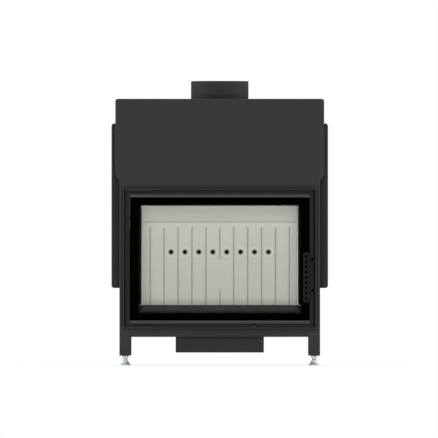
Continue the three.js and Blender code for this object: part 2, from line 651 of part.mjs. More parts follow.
// Points of a loop that go from a rounded rectangle to a circle, in matching order.
function throatLoop(halfX, halfY, corner, count = 48) {
  const ring = roundedRectangle(-halfX, halfX, -halfY, halfY, corner, 8);
  const lengths = [0];
  ring.forEach((p, i) => lengths.push(lengths[i] + p.distanceTo(ring[(i + 1) % ring.length])));
  const total = lengths[ring.length];
  const start = ring.findIndex((p) => p.x >= halfX - 1e-6 && p.y >= -halfY + corner - 1e-6);
  return Array.from({ length: count }, (_, k) => {
    const along = (lengths[start] + halfY - corner + (total * k) / count) % total;
    const i = lengths.findIndex((length, n) => along >= length && along < lengths[n + 1]);
    const t = (along - lengths[i]) / (lengths[i + 1] - lengths[i]);
    return ring[i].clone().lerp(ring[(i + 1) % ring.length], t).add(at(0, FLUE_Y));
  });
}

function circleLoop(radius, count = 48) {
  return Array.from({ length: count }, (_, k) => {
    const angle = (2 * Math.PI * k) / count;
    return at(radius * Math.cos(angle), FLUE_Y + radius * Math.sin(angle));
  });
}

// Sheet transition from the oblong smoke opening in the firebox roof to the round collar.
function smokeGather() {
  const bottom = SHELL_TOP + FIT;
  const bore = FLUE_RADIUS + FIT;
  const neckTop = FLUE_BOTTOM + 13;
  const shellAt = (grow, low, high) => loft([
    { loop: throatLoop(THROAT_WIDTH / 2 + grow, THROAT_DEPTH / 2 + grow, THROAT_CORNER + grow), z: low },
    { loop: throatLoop(THROAT_WIDTH / 2 + grow, THROAT_DEPTH / 2 + grow, THROAT_CORNER + grow), z: bottom + 12 },
    { loop: circleLoop(bore + grow), z: GATHER_NECK },
    { loop: circleLoop(bore + grow), z: high },
  ]);
  const flange = alongZ(roundedRectangle(
    -THROAT_WIDTH / 2 - THROAT_FLANGE, THROAT_WIDTH / 2 + THROAT_FLANGE,
    FLUE_Y - THROAT_DEPTH / 2 - THROAT_FLANGE, FLUE_Y + THROAT_DEPTH / 2 + THROAT_FLANGE, THROAT_CORNER,
  ), bottom, bottom + SHEET);
  const skin = join(shellAt(SHEET, bottom, neckTop), flange);
  // a rolled stop in the neck, on which the collar stands
  const stop = turned([
    [FLUE_RADIUS - 2, FLUE_BOTTOM - 3], [bore + 1, FLUE_BOTTOM - 3],
    [bore + 1, FLUE_BOTTOM - FIT], [FLUE_RADIUS - 2, FLUE_BOTTOM - FIT],
    [FLUE_RADIUS - 2, FLUE_BOTTOM - 3],
  ], 0, FLUE_Y, 48);
  return join(cut(skin, shellAt(0, bottom - 1, neckTop + 1)), stop);
}

// The gather is welded from two pressed halves, which meet in the plane of the flue.
function gatherHalf(side) {
  const seam = FLUE_Y + (side * FIT) / 2;
  const far = FLUE_Y + side * THROAT_DEPTH;
  return smokeGather().intersect(block(
    -THROAT_WIDTH, THROAT_WIDTH, Math.min(seam, far), Math.max(seam, far), SHELL_TOP - 9, FLUE_TOP,
  ));
}

// ================================================================ convection covers

function sideCasing() {
  const outline = rectangle(CASING_FRONT, CASING_REAR, CASING_BOTTOM, CASING_TOP);
  const pan = tray(outline, CASING_DEPTH, CASING_SHEET, CASING_BEND, Y, Z, X.clone().negate());
  return pan.translate([FRAME_WIDTH / 2 + FIT + CASING_DEPTH, 0, 0]);
}

function rearShield() {
  const half = SHIELD_WIDTH / 2;
  const outline = rectangle(-half, half, SHIELD_BOTTOM, SHIELD_TOP);
  const depth = SHIELD_REAR - BODY_REAR - FIT;
  const pan = tray(outline, depth, CASING_SHEET, BEND, X, Z, Y.clone().negate());
  return pan.translate([0, SHIELD_REAR, 0]);
}

// ================================================================ door surround and firebox

const slideBottom = SHELL_BOTTOM + SHELL_WALL + FIT;
const slideTop = slideBottom + SLIDE_THICKNESS;

// A square sleeve whose front edge stands out as the lip round the door. Inside it a
// stop frame is welded in, which the door seal presses on.
function doorSurround() {
  const inner = lipHalf - LIP_WALL;
  const outline = roundedRectangle(-lipHalf, lipHalf, LIP_BOTTOM, LIP_TOP, LIP_WALL);
  const sleeve = cut(
    alongY(outline, -LIP_PROUD, stopRear),
    block(-inner, inner, -LIP_PROUD - 9, STOP_FRONT, LIP_BOTTOM + LIP_WALL, LIP_TOP - LIP_WALL),
  );
  const mouth = roundedRectangle(-MOUTH_WIDTH / 2, MOUTH_WIDTH / 2, MOUTH_BOTTOM, MOUTH_TOP, 6);
  const tabHalf = TAB_WIDTH / 2 + 2 * FIT;
  const tabSlot = block(
    SLIDE_X - tabHalf, SLIDE_X + tabHalf, STOP_FRONT - 1, stopRear + 1,
    LIP_BOTTOM + LIP_WALL, slideTop + 2 * FIT,
  );
  return cut(sleeve, alongY(mouth, STOP_FRONT - 9, stopRear + 9), tabSlot);
}

const portY = (index) => PORT_FIRST + index * PORT_PITCH;

function port(y, z0, z1) {
  const outline = roundedRectangle(
    SLIDE_X - PORT_WIDTH / 2, SLIDE_X + PORT_WIDTH / 2, y - PORT_LENGTH / 2, y + PORT_LENGTH / 2, 6, 3,
  );
  return alongZ(outline, z0, z1);
}

// Welded steel box, open at the front, with the smoke opening in its roof and the air
// ports in its floor.
function fireboxShell() {
  const w = SHELL_WIDTH / 2;
  const front = stopRear + FIT;
  const rear = BODY_REAR - SHEET - FIT;
  const t = SHELL_WALL;
  const box = cut(
    block(-w, w, front, rear, SHELL_BOTTOM, SHELL_TOP),
    block(-w + t, w - t, front - 9, rear - t, SHELL_BOTTOM + t, SHELL_TOP - t),
  );
  const head = block(-w + t / 2, w - t / 2, front, front + t, SHELL_HEAD, SHELL_TOP - t / 2);
  const throat = alongZ(roundedRectangle(
    -THROAT_WIDTH / 2, THROAT_WIDTH / 2, FLUE_Y - THROAT_DEPTH / 2, FLUE_Y + THROAT_DEPTH / 2, THROAT_CORNER,
  ), SHELL_TOP - t - 1, SHELL_TOP + 1);
  const ports = [];
  for (let i = 0; i < PORT_COUNT; i += 1) {
    ports.push(port(portY(i), SHELL_BOTTOM - 1, SHELL_BOTTOM + t + 1));
  }
  return cut(join(box, head), throat, ...ports);
}

// ================================================================ lining

const shellRearInner = BODY_REAR - SHEET - FIT - SHELL_WALL;
const liningBottom = FLOOR_PAN_TOP + FIT;
const liningHalf = FIREBOX_WIDTH / 2;
const backRear = BACK_FRONT + BACK_THICKNESS;

// Cover over the air chamber, which carries the lining.
function floorPan() {
  const x = SHELL_WIDTH / 2 - SHELL_WALL - 4;
  const low = SHELL_BOTTOM + SHELL_WALL + FIT;
  const path = [at(x, low), at(x, FLOOR_PAN_TOP), at(-x, FLOOR_PAN_TOP), at(-x, low)];
  const pan = alongY(foldedSection(path, SHEET, BEND), stopRear + 7, shellRearInner - FIT);
  const half = DUCT_WIDTH / 2 - DUCT_SHOULDER;
  const riser = block(-half, half, backRear + 4, shellRearInner - 5, FLOOR_PAN_TOP - 9, FLOOR_PAN_TOP + 9);
  return cut(pan, riser);
}

function hearthSlab() {
  const x = liningHalf - FIT;
  return block(-x, x, LINING_FRONT, BACK_FRONT - FIT, liningBottom, HEARTH_TOP);
}

// Side slab with a chamfered arris on its front edge, beside the fire.
function sideLining() {
  const outer = SHELL_WIDTH / 2 - SHELL_WALL - FIT;
  const rear = shellRearInner - FIT;
  const outline = [
    at(liningHalf, LINING_FRONT + 2 * ARRIS), at(liningHalf + ARRIS, LINING_FRONT),
    at(outer, LINING_FRONT), at(outer, rear), at(liningHalf, rear),
  ];
  return alongZ(outline, liningBottom, LINING_TOP);
}

// A half-round flute from z0 to z1, ending in a quarter ball at the top.
function flute(x, z0, z1) {
  const r = GROOVE_WIDTH / 2;
  const ball = new THREE.SphereGeometry(r, 8, 6).rotateX(Math.PI / 2).translate(x, BACK_FRONT, z1 - r);
  return join(upright(r, x, BACK_FRONT, z0, z1 - r, 8), solid(ball));
}

// Back slab with vertical flutes and a row of countersunk holes for the secondary air.
function backLining() {
  const x = liningHalf - FIT;
  const slab = block(-x, x, BACK_FRONT, backRear, liningBottom, BACK_TOP);
  const tools = [];
  for (let i = 0; i < GROOVE_COUNT; i += 1) {
    const offset = (i - (GROOVE_COUNT - 1) / 2) * GROOVE_PITCH;
    if (offset === 0) {
      tools.push(flute(offset, liningBottom - 9, FIELD_BOTTOM));
      tools.push(flute(offset, FIELD_TOP, GROOVE_TOP));
    } else {
      tools.push(flute(offset, liningBottom - 9, GROOVE_TOP));
    }
  }
  for (let i = 0; i < AIR_HOLE_COUNT; i += 1) {
    const offset = (i - (AIR_HOLE_COUNT - 1) / 2) * GROOVE_PITCH;
    const profile = [
      [0, -1], [AIR_HOLE_SINK, -1], [AIR_HOLE_SINK, 0], [AIR_HOLE_RADIUS, SINK_DEPTH],
      [AIR_HOLE_RADIUS, BACK_THICKNESS + 1], [0, BACK_THICKNESS + 1],
    ].map(([r, y]) => at(r, y));
    const hole = new THREE.LatheGeometry(profile, 16);
    tools.push(solid(hole.translate(offset, BACK_FRONT, AIR_HOLE_Z)));
  }
  return cut(slab, ...tools);
}

// Air duct behind the back slab, fed through the floor pan.
function rearDuct() {
  const half = DUCT_WIDTH / 2;
  const rear = shellRearInner - FIT;
  const outline = rectangle(-half, half, liningBottom, DUCT_TOP);
  const depth = rear - backRear - FIT;
  const pan = tray(outline, depth, DUCT_SHEET, 3, X, Z, Y.clone().negate()).translate([0, rear, 0]);
  const mouth = block(
    -half + DUCT_SHOULDER, half - DUCT_SHOULDER, backRear + 4, rear - 5, liningBottom - 1, liningBottom + DUCT_SHEET + 2,
  );
  return cut(pan, mouth);
}

// Sloping slab that stands on the back slab and leans forward over the fire.
function deflector() {
  const foot = BACK_TOP + FIT;
  const run = BACK_FRONT - DEFLECTOR_FRONT;
  const length = Math.hypot(run, DEFLECTOR_RISE);
  const liftY = (DEFLECTOR_RISE / length) * DEFLECTOR_THICKNESS;
  const liftZ = (run / length) * DEFLECTOR_THICKNESS;
  const frontTop = foot + DEFLECTOR_RISE + liftZ;
  const slope = DEFLECTOR_RISE / run;
  const rearTop = frontTop - (backRear - DEFLECTOR_FRONT - liftY) * slope;
  const outline = [
    at(BACK_FRONT, foot), at(backRear, foot), at(backRear, rearTop),
    at(DEFLECTOR_FRONT + liftY, frontTop), at(DEFLECTOR_FRONT, foot + DEFLECTOR_RISE),
  ];
  return alongX(outline, -liningHalf + FIT, liningHalf - FIT);
}

// Steel baffle lying on the side slabs under the smoke opening.
function bafflePlate() {
  const x = SHELL_WIDTH / 2 - SHELL_WALL - 4;
  const outline = roundedRectangle(-x, x, BAFFLE_FRONT, BAFFLE_REAR, 12, 3);
  return alongZ(outline, LINING_TOP + FIT, LINING_TOP + FIT + BAFFLE_THICKNESS);
}

// Angle strip in front of a side slab. Its lower end is mitred to the log guard.
function sideRetainer() {
  const rear = LINING_FRONT - FIT;
  const path = [
    at(RETAINER_INNER, rear - SHEET), at(RETAINER_OUTER, rear - SHEET), at(RETAINER_OUTER, RETAINER_FRONT),
  ];
  const strip = alongZ(foldedSection(path, SHEET, BEND), FLOOR_PAN_TOP + FIT, LINING_TOP);
  const start = RETAINER_INNER - 9;
  const end = RETAINER_OUTER + 9;
  const line = (x) => GUARD_TOP - (x - liningHalf) + MITRE_GAP;
  const waste = [at(start, 0), at(end, 0), at(end, line(end)), at(start, line(start))];
  return cut(strip, alongY(waste, RETAINER_FRONT - 9, rear + 9));
}

// Folded bar across the front of the hearth that keeps logs off the glass, mitred at
// both ends to the side retainers.
function logGuard() {
  const foot = FLOOR_PAN_TOP + FIT;
  const path = [
    at(GUARD_REAR, foot), at(GUARD_REAR, GUARD_TOP), at(GUARD_FRONT, GUARD_KNEE), at(GUARD_FRONT, foot),
  ];
  const end = RETAINER_OUTER;
  const bar = alongX(foldedSection(path, SHEET, BEND), -end, end);
  const line = (x) => GUARD_TOP - (x - liningHalf);
  const top = GUARD_TOP + 9;
  const start = liningHalf - 9;
  const waste = [at(start, line(start)), at(end + 9, line(end + 9)), at(end + 9, top), at(start, top)];
  const tool = alongY(waste, GUARD_FRONT - 9, GUARD_REAR + 9);
  return cut(bar, tool, mirrored(tool));
}

// ================================================================ air supply

const airY = (AIR_BOX_FRONT + AIR_BOX_REAR) / 2;

// Open-topped box under the firebox with the fresh-air opening in its floor.
function airBox() {
  const half = AIR_BOX_WIDTH / 2;
  const outline = rectangle(-half, half, AIR_BOX_FRONT, AIR_BOX_REAR);
  const depth = SHELL_BOTTOM - FIT - AIR_BOX_BOTTOM;
  const pan = tray(outline, depth, AIR_BOX_SHEET, 3, X, Y, Z).translate([0, 0, AIR_BOX_BOTTOM]);
  return cut(pan, upright(AIR_RADIUS + FIT, 0, airY, AIR_BOX_BOTTOM - 1, AIR_BOX_BOTTOM + 9, 40));
}

// Sleeve in that opening, with a flange on the floor of the box.
function airCollar() {
  const bottom = AIR_BOX_BOTTOM;
  const seat = AIR_BOX_BOTTOM + AIR_BOX_SHEET + FIT;
  const inner = AIR_RADIUS - AIR_COLLAR_WALL;
  return turned([
    [inner, bottom], [AIR_RADIUS, bottom], [AIR_RADIUS, seat], [AIR_RADIUS + AIR_COLLAR_FLANGE, seat],
    [AIR_RADIUS + AIR_COLLAR_FLANGE, seat + AIR_COLLAR_WALL], [AIR_RADIUS, seat + AIR_COLLAR_WALL], [AIR_RADIUS, bottom + AIR_COLLAR_HEIGHT],
    [inner, bottom + AIR_COLLAR_HEIGHT], [inner, bottom],
  ], 0, airY, 40);
}

// Flat slide with its pull tab. Pushed in, it covers the ports in the firebox floor;
// pulled out, its own ports stand over them.
function airSlide() {
  const half = SLIDE_PLATE_WIDTH / 2;
  const tab = TAB_WIDTH / 2;
  const outline = rounded([
    at(SLIDE_X - tab, -TAB_REACH), at(SLIDE_X + tab, -TAB_REACH),
    at(SLIDE_X + tab, SLIDE_PLATE_FRONT), at(SLIDE_X + half, SLIDE_PLATE_FRONT),
    at(SLIDE_X + half, SLIDE_PLATE_REAR), at(SLIDE_X - half, SLIDE_PLATE_REAR),
    at(SLIDE_X - half, SLIDE_PLATE_FRONT), at(SLIDE_X - tab, SLIDE_PLATE_FRONT),
  ], [3, 3, 6, 6, 6, 6, 6, 6], 3);
  const plate = alongZ(outline, slideBottom, slideTop);
  const ports = [];
  for (let i = 0; i < PORT_COUNT; i += 1) {
    ports.push(port(portY(i) + SLIDE_TRAVEL, slideBottom - 1, slideTop + 1));
  }
  return cut(plate, ...ports);
}

// Guide rail along one side of the slide, with a lip over its edge.
function slideGuide(side) {
  const edge = SLIDE_PLATE_WIDTH / 2 + FIT;
  const top = slideTop + FIT + GUIDE_LIP;
  const section = [
    at(edge, slideBottom), at(edge + GUIDE_WIDTH, slideBottom), at(edge + GUIDE_WIDTH, top),
    at(edge - GUIDE_WIDTH, top), at(edge - GUIDE_WIDTH, top - GUIDE_LIP), at(edge, top - GUIDE_LIP),
  ].map((p) => at(SLIDE_X + side * p.x, p.y));
  const outline = side > 0 ? section : section.reverse();
  return alongY(outline, SLIDE_PLATE_FRONT - SLIDE_TRAVEL, SLIDE_PLATE_REAR);
}

// ================================================================ door

const windowHalf = WINDOW_WIDTH / 2;
const glassHalf = GLASS_WIDTH / 2;
const glassFront = DOOR_FRONT + GLASS_INSET;
const glassRear = glassFront + GLASS_THICKNESS;
const gasketRear = glassRear + FIT + GASKET_THICKNESS;
const ledge = gasketRear + FIT;
const cavityTop = LIP_TOP - LIP_WALL;
const cavityBottom = LIP_BOTTOM + LIP_WALL;
const hingePlateTop = cavityTop - FIT - HINGE_PLATE;
const hingePlateBottom = cavityBottom + FIT + HINGE_PLATE;
const hingePlateEnd = HINGE_X + HINGE_PLATE_REACH;

// The rope runs round the window, this far outside its edge.
const ropeRectangle = (grow) => roundedRectangle(
  -windowHalf - ROPE_INSET - grow, windowHalf + ROPE_INSET + grow,
  WINDOW_BOTTOM - ROPE_INSET - grow, WINDOW_TOP + ROPE_INSET + grow, 12 + grow, 6,
);

function doorFrame() {
  const bar = [
    at(DOOR_LEFT, DOOR_FRONT), at(DOOR_RIGHT, DOOR_FRONT), at(DOOR_RIGHT, DOOR_REAR), at(DOOR_LEFT, DOOR_REAR),
  ];
  const slab = alongZ(rounded(bar, [DOOR_EDGE, DOOR_EDGE, 0, 0]), DOOR_BOTTOM, DOOR_TOP);
  const recess = block(
    -glassHalf - FIT, glassHalf + FIT, DOOR_FRONT - 9, ledge, STRIP_BOTTOM - STRIP_GAP, STRIP_TOP + STRIP_GAP,
  );
  const opening = alongY(
    roundedRectangle(-windowHalf, windowHalf, WINDOW_BOTTOM, WINDOW_TOP, 4), DOOR_FRONT - 9, DOOR_REAR + 9,
  );
  const groove = cut(
    alongY(ropeRectangle(ROPE_GROOVE / 2), DOOR_REAR - ROPE_SINK, DOOR_REAR + 9),
    alongY(ropeRectangle(-ROPE_GROOVE / 2), DOOR_REAR - ROPE_SINK - 9, DOOR_REAR + 18),
  );
  // the back is open between the rope channel and the outer wall, as in a folded profile
  const channel = ROPE_INSET + ROPE_GROOVE / 2 + POCKET_WALL;
  const pocket = cut(
    block(
      DOOR_LEFT + POCKET_WALL, DOOR_RIGHT - POCKET_WALL, DOOR_REAR - POCKET_DEPTH, DOOR_REAR + 9,
      DOOR_BOTTOM + POCKET_WALL, DOOR_TOP - POCKET_WALL,
    ),
    block(
      -windowHalf - channel, windowHalf + channel, DOOR_FRONT, DOOR_REAR + 18,
      WINDOW_BOTTOM - channel, WINDOW_TOP + channel,
    ),
    // solid corner blocks round the hinge pins
    block(
      DOOR_LEFT - 1, HINGE_X + HINGE_BLOCK_WIDTH, DOOR_FRONT, DOOR_REAR + 18,
      DOOR_TOP - HINGE_BLOCK_HEIGHT, DOOR_TOP + 1,
    ),
    block(
      DOOR_LEFT - 1, HINGE_X + HINGE_BLOCK_WIDTH, DOOR_FRONT, DOOR_REAR + 18,
      DOOR_BOTTOM - 1, DOOR_BOTTOM + HINGE_BLOCK_HEIGHT,
    ),
  );
  return cut(slab, recess, opening, groove, pocket, ...hingeCuts(), ...clipCuts(), ...latchCuts(), tabCut());
}

// Corners cut away for the hinge plates, and the holes their pins turn in.
function hingeCuts() {
  const end = hingePlateEnd + 3;
  const notch = (z0, z1) => block(DOOR_LEFT - 9, end, DOOR_FRONT - 9, DOOR_REAR + 9, z0, z1);
  const hole = (z0, z1) => upright(HINGE_PIN + RUN, HINGE_X, HINGE_Y, z0, z1, 24);
  const relief = (from, to, z0, z1) => block(
    HINGE_X + from, HINGE_X + to, DOOR_FRONT - 9, DOOR_FRONT + RELIEF_DEPTH, z0, z1,
  );
  const low = hingePlateBottom + FIT;
  const high = hingePlateTop - FIT;
  return [
    notch(high, DOOR_TOP + 9),
    notch(DOOR_BOTTOM - 9, low),
    hole(high - HINGE_PIN_LENGTH - 1, high + 9),
    hole(low - 9, low + HINGE_PIN_LENGTH + 1),
    ...[[RELIEF_DOT, RELIEF_DOT + 5], [RELIEF_START, HINGE_PLATE_REACH]].flatMap(([from, to]) => [
      relief(from, to, high - RELIEF_HEIGHT, high + 1),
      relief(from, to, low - 1, low + RELIEF_HEIGHT),
    ]),
  ];
}

// Notches in the edge of the recess, one for each clip of the two clamping strips.
function clipCuts() {
  const places = [-1.5, -0.5, 0.5, 1.5].map((k) => k * CLIP_SPACING);
  const reach = STRIP_GAP + CLIP_NOTCH;
  return places.flatMap((x) => [[STRIP_TOP, STRIP_TOP + reach], [STRIP_BOTTOM - reach, STRIP_BOTTOM]].map(
    ([z0, z1]) => block(x - CLIP_WIDTH / 2, x + CLIP_WIDTH / 2, DOOR_FRONT - 9, ledge, z0, z1),
  ));
}

// Slots for the handle arms in the face of the stile, and for the cams in its edge.
function latchCuts() {
  const arms = ARM_HEIGHTS.map((z) => block(
    SHAFT_X - ARM_WIDTH / 2 - 2, DOOR_RIGHT + 9, DOOR_FRONT - 9, SHAFT_Y - 3,
    z - ARM_THICKNESS / 2 - 2, z + ARM_THICKNESS / 2 + 2,
  ));
  const cams = CAM_HEIGHTS.map((z) => block(
    DOOR_RIGHT - POCKET_WALL - 1, DOOR_RIGHT + 9, SHAFT_Y - 4, DOOR_REAR + 9,
    z - CAM_THICKNESS / 2 - 1, z + CAM_THICKNESS / 2 + 1,
  ));
  return [...arms, ...cams];
}

// Notch in the lower edge over the tab of the air slide.
function tabCut() {
  return block(
    SLIDE_X - TAB_WIDTH / 2 - 2, SLIDE_X + TAB_WIDTH / 2 + 6, DOOR_FRONT - 9, DOOR_REAR + 9,
    DOOR_BOTTOM - 9, slideTop + 1.5,
  );
}

function doorGlass() {
  return alongY(roundedRectangle(-glassHalf, glassHalf, GLASS_BOTTOM, GLASS_TOP, 3, 3), glassFront, glassRear);
}

function glassGasket() {
  const outer = roundedRectangle(
    -windowHalf - GASKET_WIDTH - 2, windowHalf + GASKET_WIDTH + 2,
    WINDOW_BOTTOM - GASKET_WIDTH - 2, WINDOW_TOP + GASKET_WIDTH + 2, 6, 3,
  );
  const inner = roundedRectangle(-windowHalf - 2, windowHalf + 2, WINDOW_BOTTOM - 2, WINDOW_TOP + 2, 4, 3);
  const [front, rear] = [glassRear + FIT, gasketRear];
  return cut(alongY(outer, front, rear), alongY(inner, front - 9, rear + 9));
}

// Clamping strip with a rounded face and a heel beside the edge of the glass.
// way is +1 for the upper strip and -1 for the lower one.
function glassStrip(way) {
  const outer = way > 0 ? STRIP_TOP : STRIP_BOTTOM;
  const glassEdge = way > 0 ? GLASS_TOP : GLASS_BOTTOM;
  const crown = DOOR_FRONT - STRIP_PROUD;
  const clamp = glassFront - FIT;
  const face = [];
  for (let k = 0; k <= 6; k += 1) {
    const angle = (k / 6) * (Math.PI / 2) * 0.92;
    const z = outer - way * STRIP_WIDTH * (1 - Math.sin(angle) / Math.sin(Math.PI * 0.46));
    face.push(at(crown + (STRIP_PROUD + 0.6) * (1 - Math.cos(angle)), z));
  }
  const section = [
    ...face, at(ledge - FIT, outer), at(ledge - FIT, glassEdge + way * FIT),
    at(clamp, glassEdge + way * FIT), at(clamp, outer - way * STRIP_WIDTH),
  ];
  const outline = way > 0 ? section.reverse() : section;
  return alongX(outline, -glassHalf, glassHalf);
}

function doorRope() {
  return ropeLoop(ropeRectangle(0), STOP_FRONT - FIT - ROPE_RADIUS * Math.cos(Math.PI / 8), ROPE_RADIUS);
}

// Plate fixed inside the surround, with the pin the door turns on.
function hingePlate(way) {
  const plate0 = way > 0 ? hingePlateTop : hingePlateBottom - HINGE_PLATE;
  const outline = rounded(
    rectangle(HINGE_X - 5, hingePlateEnd, DOOR_FRONT + 2, STOP_FRONT - FIT), [5, 0, 0, 3], 4,
  );
  const plate = alongZ(outline, plate0, plate0 + HINGE_PLATE);
  const z0 = way > 0 ? hingePlateTop - HINGE_PIN_LENGTH : hingePlateBottom - 1;
  const pin = upright(HINGE_PIN, HINGE_X, HINGE_Y, z0, z0 + HINGE_PIN_LENGTH + 1, 24);
  return join(plate, pin);
}

// ================================================================ handle and latch

// Grip: a perforated plate with rounded corners, folded back along one edge.
function handleGrip() {
  const path = [
    at(HANDLE_RIGHT, HANDLE_FRONT + HANDLE_RETURN), at(HANDLE_RIGHT, HANDLE_FRONT), at(HANDLE_LEFT, HANDLE_FRONT),
  ];
  const section = foldedSection(path.reverse(), SHEET, 4);
  const blank = alongZ(section, HANDLE_BOTTOM, HANDLE_TOP);
  const rear = HANDLE_FRONT + HANDLE_RETURN + 9;
  const outline = roundedRectangle(HANDLE_LEFT, HANDLE_RIGHT + 0.01, HANDLE_BOTTOM, HANDLE_TOP, HANDLE_CORNER, 5);
  const grip = blank.intersect(alongY(outline, HANDLE_FRONT - 1, rear));
  const holes = [];
  const centre = (HANDLE_BOTTOM + HANDLE_TOP) / 2;
  const holeX = (HANDLE_LEFT + HANDLE_RIGHT) / 2;
  for (let i = 0; i < HANDLE_HOLE_COUNT; i += 1) {
    const z = centre + (i - (HANDLE_HOLE_COUNT - 1) / 2) * HANDLE_HOLE_PITCH;
    const drill = new THREE.CylinderGeometry(HANDLE_HOLE, HANDLE_HOLE, 4 * SHEET, 20);
    holes.push(solid(drill.translate(holeX, HANDLE_FRONT, z)));
  }
  return cut(grip, ...holes);
}

// Flat arm from the shaft, through the stile, to the fold of the grip.
function handleArm(z) {
  const half = ARM_WIDTH / 2;
  const plateBack = HANDLE_FRONT + SHEET + FIT;
  const fold = HANDLE_RIGHT + FIT;
  const neck = [
    at(fold, plateBack), at(SHAFT_X + half, plateBack), at(SHAFT_X + half, SHAFT_Y - 3),
    at(SHAFT_X - half, SHAFT_Y - 3), at(SHAFT_X - half, plateBack + 15), at(fold, plateBack + 11),
  ];
  const [z0, z1] = [z - ARM_THICKNESS / 2, z + ARM_THICKNESS / 2];
  const eye = upright(EYE_RADIUS, SHAFT_X, SHAFT_Y, z0, z1, 24);
  return cut(
    join(alongZ(neck, z0, z1), eye),
    upright(SHAFT_RADIUS + FIT, SHAFT_X, SHAFT_Y, z0 - 1, z1 + 1, 24),
  );
}

function latchShaft() {
  const r = SHAFT_RADIUS;
  return turned([
    [0, SHAFT_BOTTOM], [r - 1, SHAFT_BOTTOM], [r, SHAFT_BOTTOM + 1],
    [r, SHAFT_TOP - 1], [r - 1, SHAFT_TOP], [0, SHAFT_TOP],
  ], SHAFT_X, SHAFT_Y, 24);
}

// Cam on the shaft, whose nose reaches out of the edge of the stile behind the keeper.
function latchCam(z) {
  const nose = SHAFT_X + CAM_REACH;
  const outline = rounded([
    at(SHAFT_X - 1, SHAFT_Y - 5), at(SHAFT_X + 4, SHAFT_Y - 3), at(nose, SHAFT_Y - 3),
    at(nose, SHAFT_Y + 3), at(SHAFT_X + 4, SHAFT_Y + 3), at(SHAFT_X - 1, SHAFT_Y + 5),
  ], [0, 0, 1.5, 2.5, 0, 0]);
  const [z0, z1] = [z - CAM_THICKNESS / 2, z + CAM_THICKNESS / 2];
  const hub = upright(EYE_RADIUS - 0.8, SHAFT_X, SHAFT_Y, z0, z1, 24);
  return cut(
    join(alongZ(outline, z0, z1), hub),
    upright(SHAFT_RADIUS + FIT, SHAFT_X, SHAFT_Y, z0 - 1, z1 + 1, 24),
  );
}

// Bearing block in the back of the stile.
function shaftBearing(z) {
  const left = windowHalf + ROPE_INSET + ROPE_GROOVE / 2 + POCKET_WALL + FIT;
  const right = DOOR_RIGHT - POCKET_WALL - FIT;
  const front = DOOR_REAR - POCKET_DEPTH + FIT;
  const [z0, z1] = [z - BEARING_LENGTH / 2, z + BEARING_LENGTH / 2];
  const outline = rounded(rectangle(left, right, front, DOOR_REAR - 1), [0, 0, 2, 2], 3);
  return cut(
    alongZ(outline, z0, z1),
    upright(SHAFT_RADIUS + FIT, SHAFT_X, SHAFT_Y, z0 - 1, z1 + 1, 24),
  );
}

function keeper(z) {
  const wall = KEEPER_FACE + KEEPER_THICKNESS;
  const outline = rounded(rectangle(KEEPER_FACE, wall, SHAFT_Y - 10, SHAFT_Y + 8), [1, 0, 0, 1], 3);
  return alongZ(outline, z - KEEPER_LENGTH / 2, z + KEEPER_LENGTH / 2);
}

// ================================================================ assembly

function meshOf(name, body, finish) {
  const data = body.getMesh();
  const geometry = new THREE.BufferGeometry();
  const points = new Float32Array(data.numVert * 3);
  for (let i = 0; i < data.numVert; i += 1) {
    for (let k = 0; k < 3; k += 1) points[3 * i + k] = data.vertProperties[i * data.numProp + k];
  }
  geometry.setAttribute('position', new THREE.BufferAttribute(points, 3));
  geometry.setIndex(new THREE.BufferAttribute(new Uint32Array(data.triVerts), 1));
  geometry.computeVertexNormals();
  const mesh = new THREE.Mesh(geometry, new THREE.MeshStandardMaterial({ ...finish, flatShading: true }));
  mesh.name = name;
  return mesh;
}

// Puts pieces drawn in the insert's own coordinates into a group that turns or slides
// about its own centre.
function fill(group, meshes) {
  meshes.forEach((mesh) => {
    mesh.position.copy(group.position).negate();
    group.add(mesh);
  });
  return group;
}

const group = new THREE.Group();
group.position.y = -(HANDLE_FRONT + SHIELD_REAR) / 2;

const leg = rearLeg();
const rail = sideRail();
const casing = sideCasing();
const slab = sideLining();
const retainer = sideRetainer();

